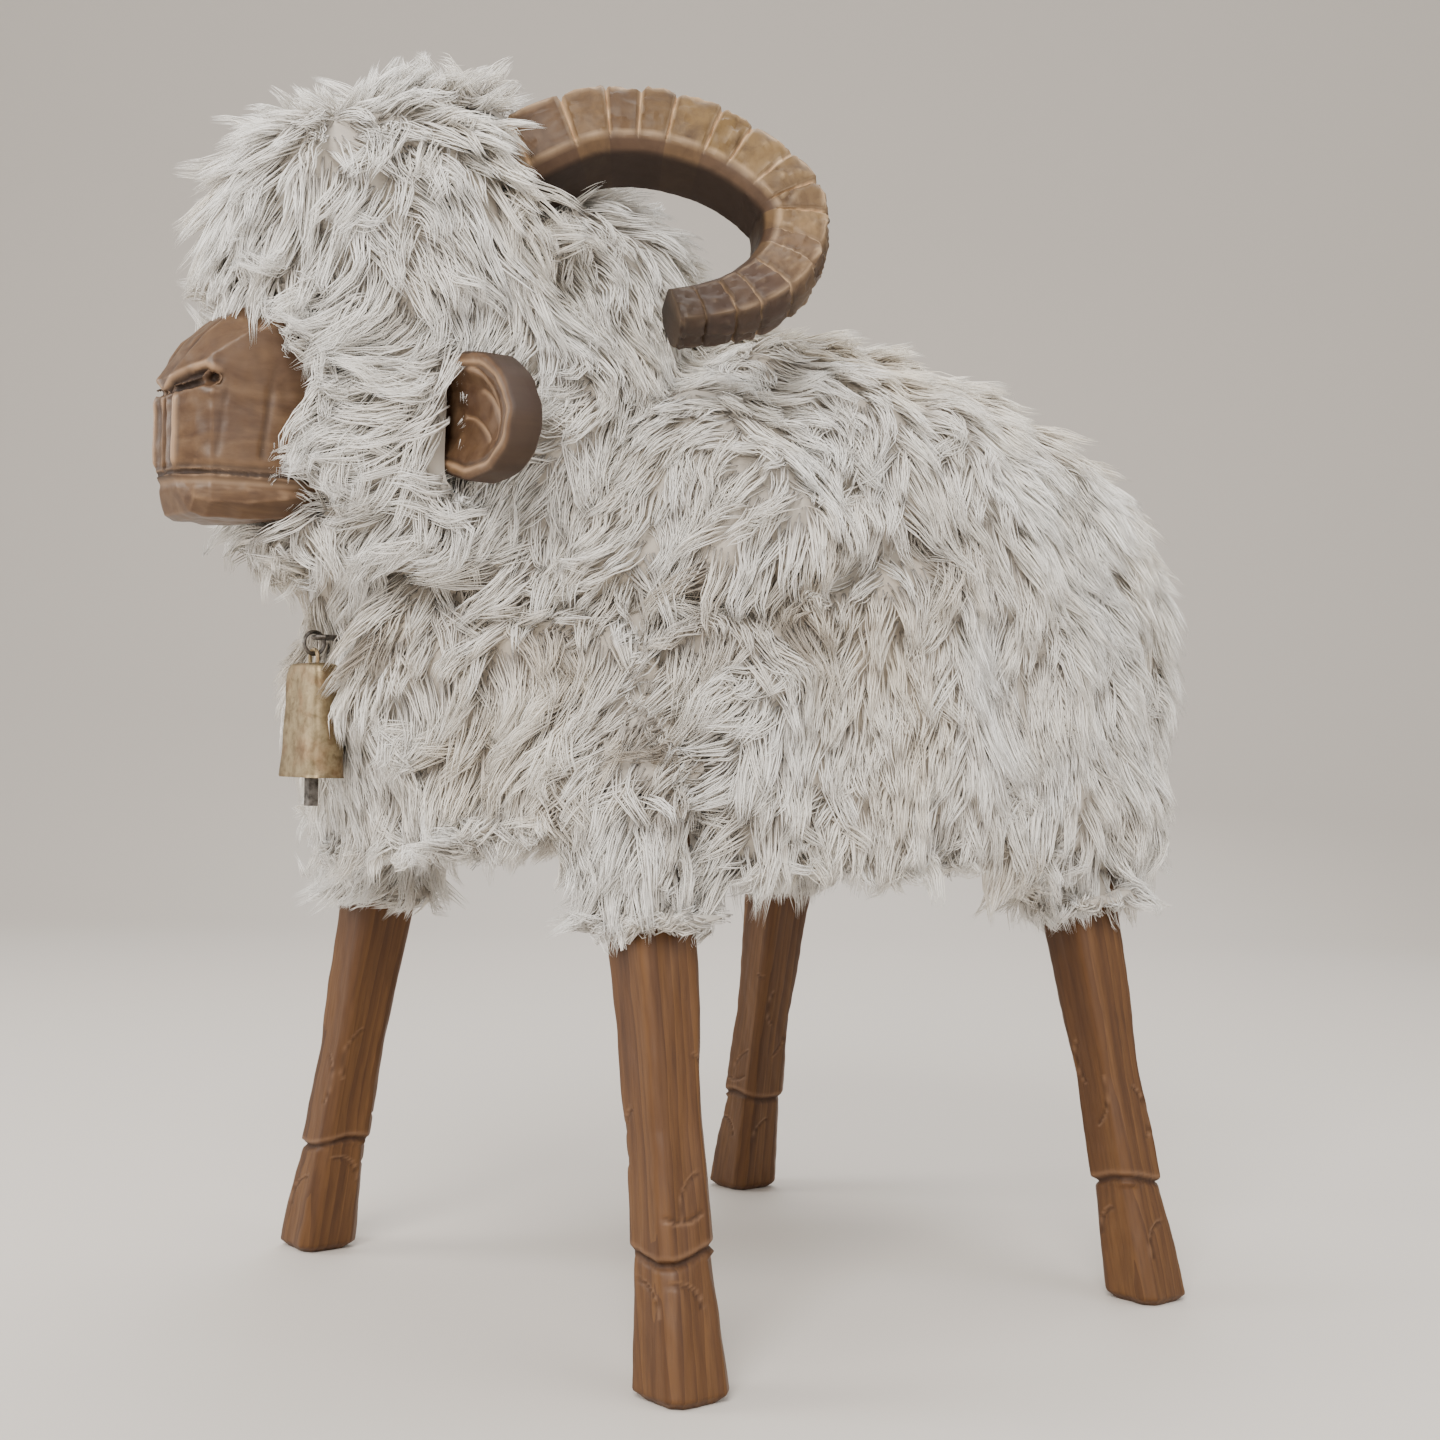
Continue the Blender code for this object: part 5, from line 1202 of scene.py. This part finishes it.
def makeStudio():
    floor = Finish("paleFloor", Roughness=0.75, Specular_IOR_Level=0.2)
    floor.shader.inputs["Base Color"].default_value = (0.66, 0.615, 0.565, 1)
    sweep = {"halfWidth": 4.0, "front": 3.0, "back": 2.2, "bend": 1.2, "height": 3.5, "steps": 16}
    # the floor bends up behind the object, square to the camera's view
    profile = [(-sweep["front"], 0.0), (sweep["back"], 0.0)]
    for i in range(1, sweep["steps"] + 1):
        angle = math.pi / 2 * i / sweep["steps"]
        profile.append((sweep["back"] + sweep["bend"] * math.sin(angle),
                        sweep["bend"] * (1 - math.cos(angle))))
    profile.append((sweep["back"] + sweep["bend"], sweep["height"]))
    ahead = Vector((-0.784, 0.62, 0))
    across = Vector((0.62, 0.784, 0))
    points = []
    for far, high in profile:
        for side in (-1, 1):
            points.append(ahead * far + across * side * sweep["halfWidth"] + Vector((0, 0, high)))
    faces = [(2 * i, 2 * i + 1, 2 * i + 3, 2 * i + 2) for i in range(len(profile) - 1)]
    meshFrom("studioFloor", points, faces, floor.material, outward=False)

    world = bpy.data.worlds.new("studio")
    world.use_nodes = True
    world.node_tree.nodes["Background"].inputs[0].default_value = (1.0, 0.965, 0.92, 1)
    world.node_tree.nodes["Background"].inputs[1].default_value = 0.60
    bpy.context.scene.world = world
    target = Vector((0, 0, 0.33))
    lamps = [
        ("keyLight", (1.5, -1.7, 1.9), 1.2, 88, (1.0, 0.97, 0.93)),
        ("fillLight", (2.2, 0.6, 1.2), 1.6, 20, (0.96, 0.98, 1.0)),
        ("leftLight", (-1.3, -2.0, 1.1), 1.2, 38, (1.0, 0.98, 0.95)),
        ("topLight", (-0.3, 0.4, 2.2), 1.4, 30, (1.0, 0.99, 0.97)),
        ("backLight", (-1.8, 1.8, 1.3), 1.3, 16, (0.97, 0.98, 1.0)),
    ]
    for name, place, size, power, colour in lamps:
        lamp = bpy.data.lights.new(name, "AREA")
        lamp.size = size
        lamp.energy = power
        lamp.color = colour
        lampObject = bpy.data.objects.new(name, lamp)
        lampObject.location = place
        lampObject.rotation_euler = (target - Vector(place)).to_track_quat("-Z", "Y").to_euler()
        bpy.context.scene.collection.objects.link(lampObject)


def makeCamera():
    view = {"place": (0.941, -0.701, 0.295), "toward": (-0.784, 0.62, 0), "lens": 52.8, "sensor": 36,
            "roll": 0.021, "shiftX": -0.00625, "shiftY": 0.0219}
    camera = bpy.data.cameras.new("camera")
    camera.lens = view["lens"]
    camera.sensor_width = view["sensor"]
    camera.shift_x, camera.shift_y = view["shiftX"], view["shiftY"]
    cameraObject = bpy.data.objects.new("camera", camera)
    cameraObject.location = view["place"]
    turned = Vector(view["toward"]).to_track_quat("-Z", "Y") @ Quaternion((0, 0, 1), view["roll"])
    cameraObject.rotation_mode = "QUATERNION"
    cameraObject.rotation_quaternion = turned
    bpy.context.scene.collection.objects.link(cameraObject)
    bpy.context.scene.camera = cameraObject


def finishNodes(looks):
    for start, look in looks.items():
        for name, node in nodes.items():
            if name.startswith(start):
                for holder in node.material_slots:
                    holder.material = look


print("floor, lights and camera")
makeStudio()
makeCamera()
print("wool")
makeWool()
zinc = steelFinish("zincSteel", (0.30, 0.30, 0.31), (0.62, 0.62, 0.62), 0.38)
darkSteel = steelFinish("darkSteel", (0.06, 0.052, 0.045), (0.24, 0.22, 0.20), 0.42)
frameWood = bareWoodFinish("frameWood", (0.42, 0.27, 0.14), (0.58, 0.42, 0.25), (0.70, 0.54, 0.35),
                           (0.08, 1, 1))
plywood = bareWoodFinish("plywood", (0.47, 0.31, 0.17), (0.62, 0.45, 0.28), (0.73, 0.57, 0.38),
                         (1, 0.08, 1), True)
dowelWood = bareWoodFinish("dowelWood", (0.50, 0.34, 0.20), (0.62, 0.45, 0.28), (0.72, 0.56, 0.38),
                           (0.2, 0.2, 0.2))
carved, foam, brass = carvedFinish(), foamFinish(), brassFinish()
print("carved wood")
makeLegs(pineFinish())
makeHead(carved)
makeEars(carved)
makeHorns(hornFinish())
print("bell and stuffing")
makeBell(brass)
makeStuffing(foam)
makeDustCover(hessianFinish())
finishNodes({
    "leg_bolt": zinc, "bolster": frameWood, "side_rail": frameWood, "neck_post": frameWood,
    "seat_board": plywood, "seat_screw": zinc, "rail_dowel": dowelWood, "neck_bolt": zinc, "head_screw": zinc,
    "ear_dowel": dowelWood, "horn_dowel": dowelWood, "cover_tack": zinc, "bell_screw_eye": darkSteel,
    "bell_ring": darkSteel,
    "bell_loop": brass, "clapper": darkSteel,
})
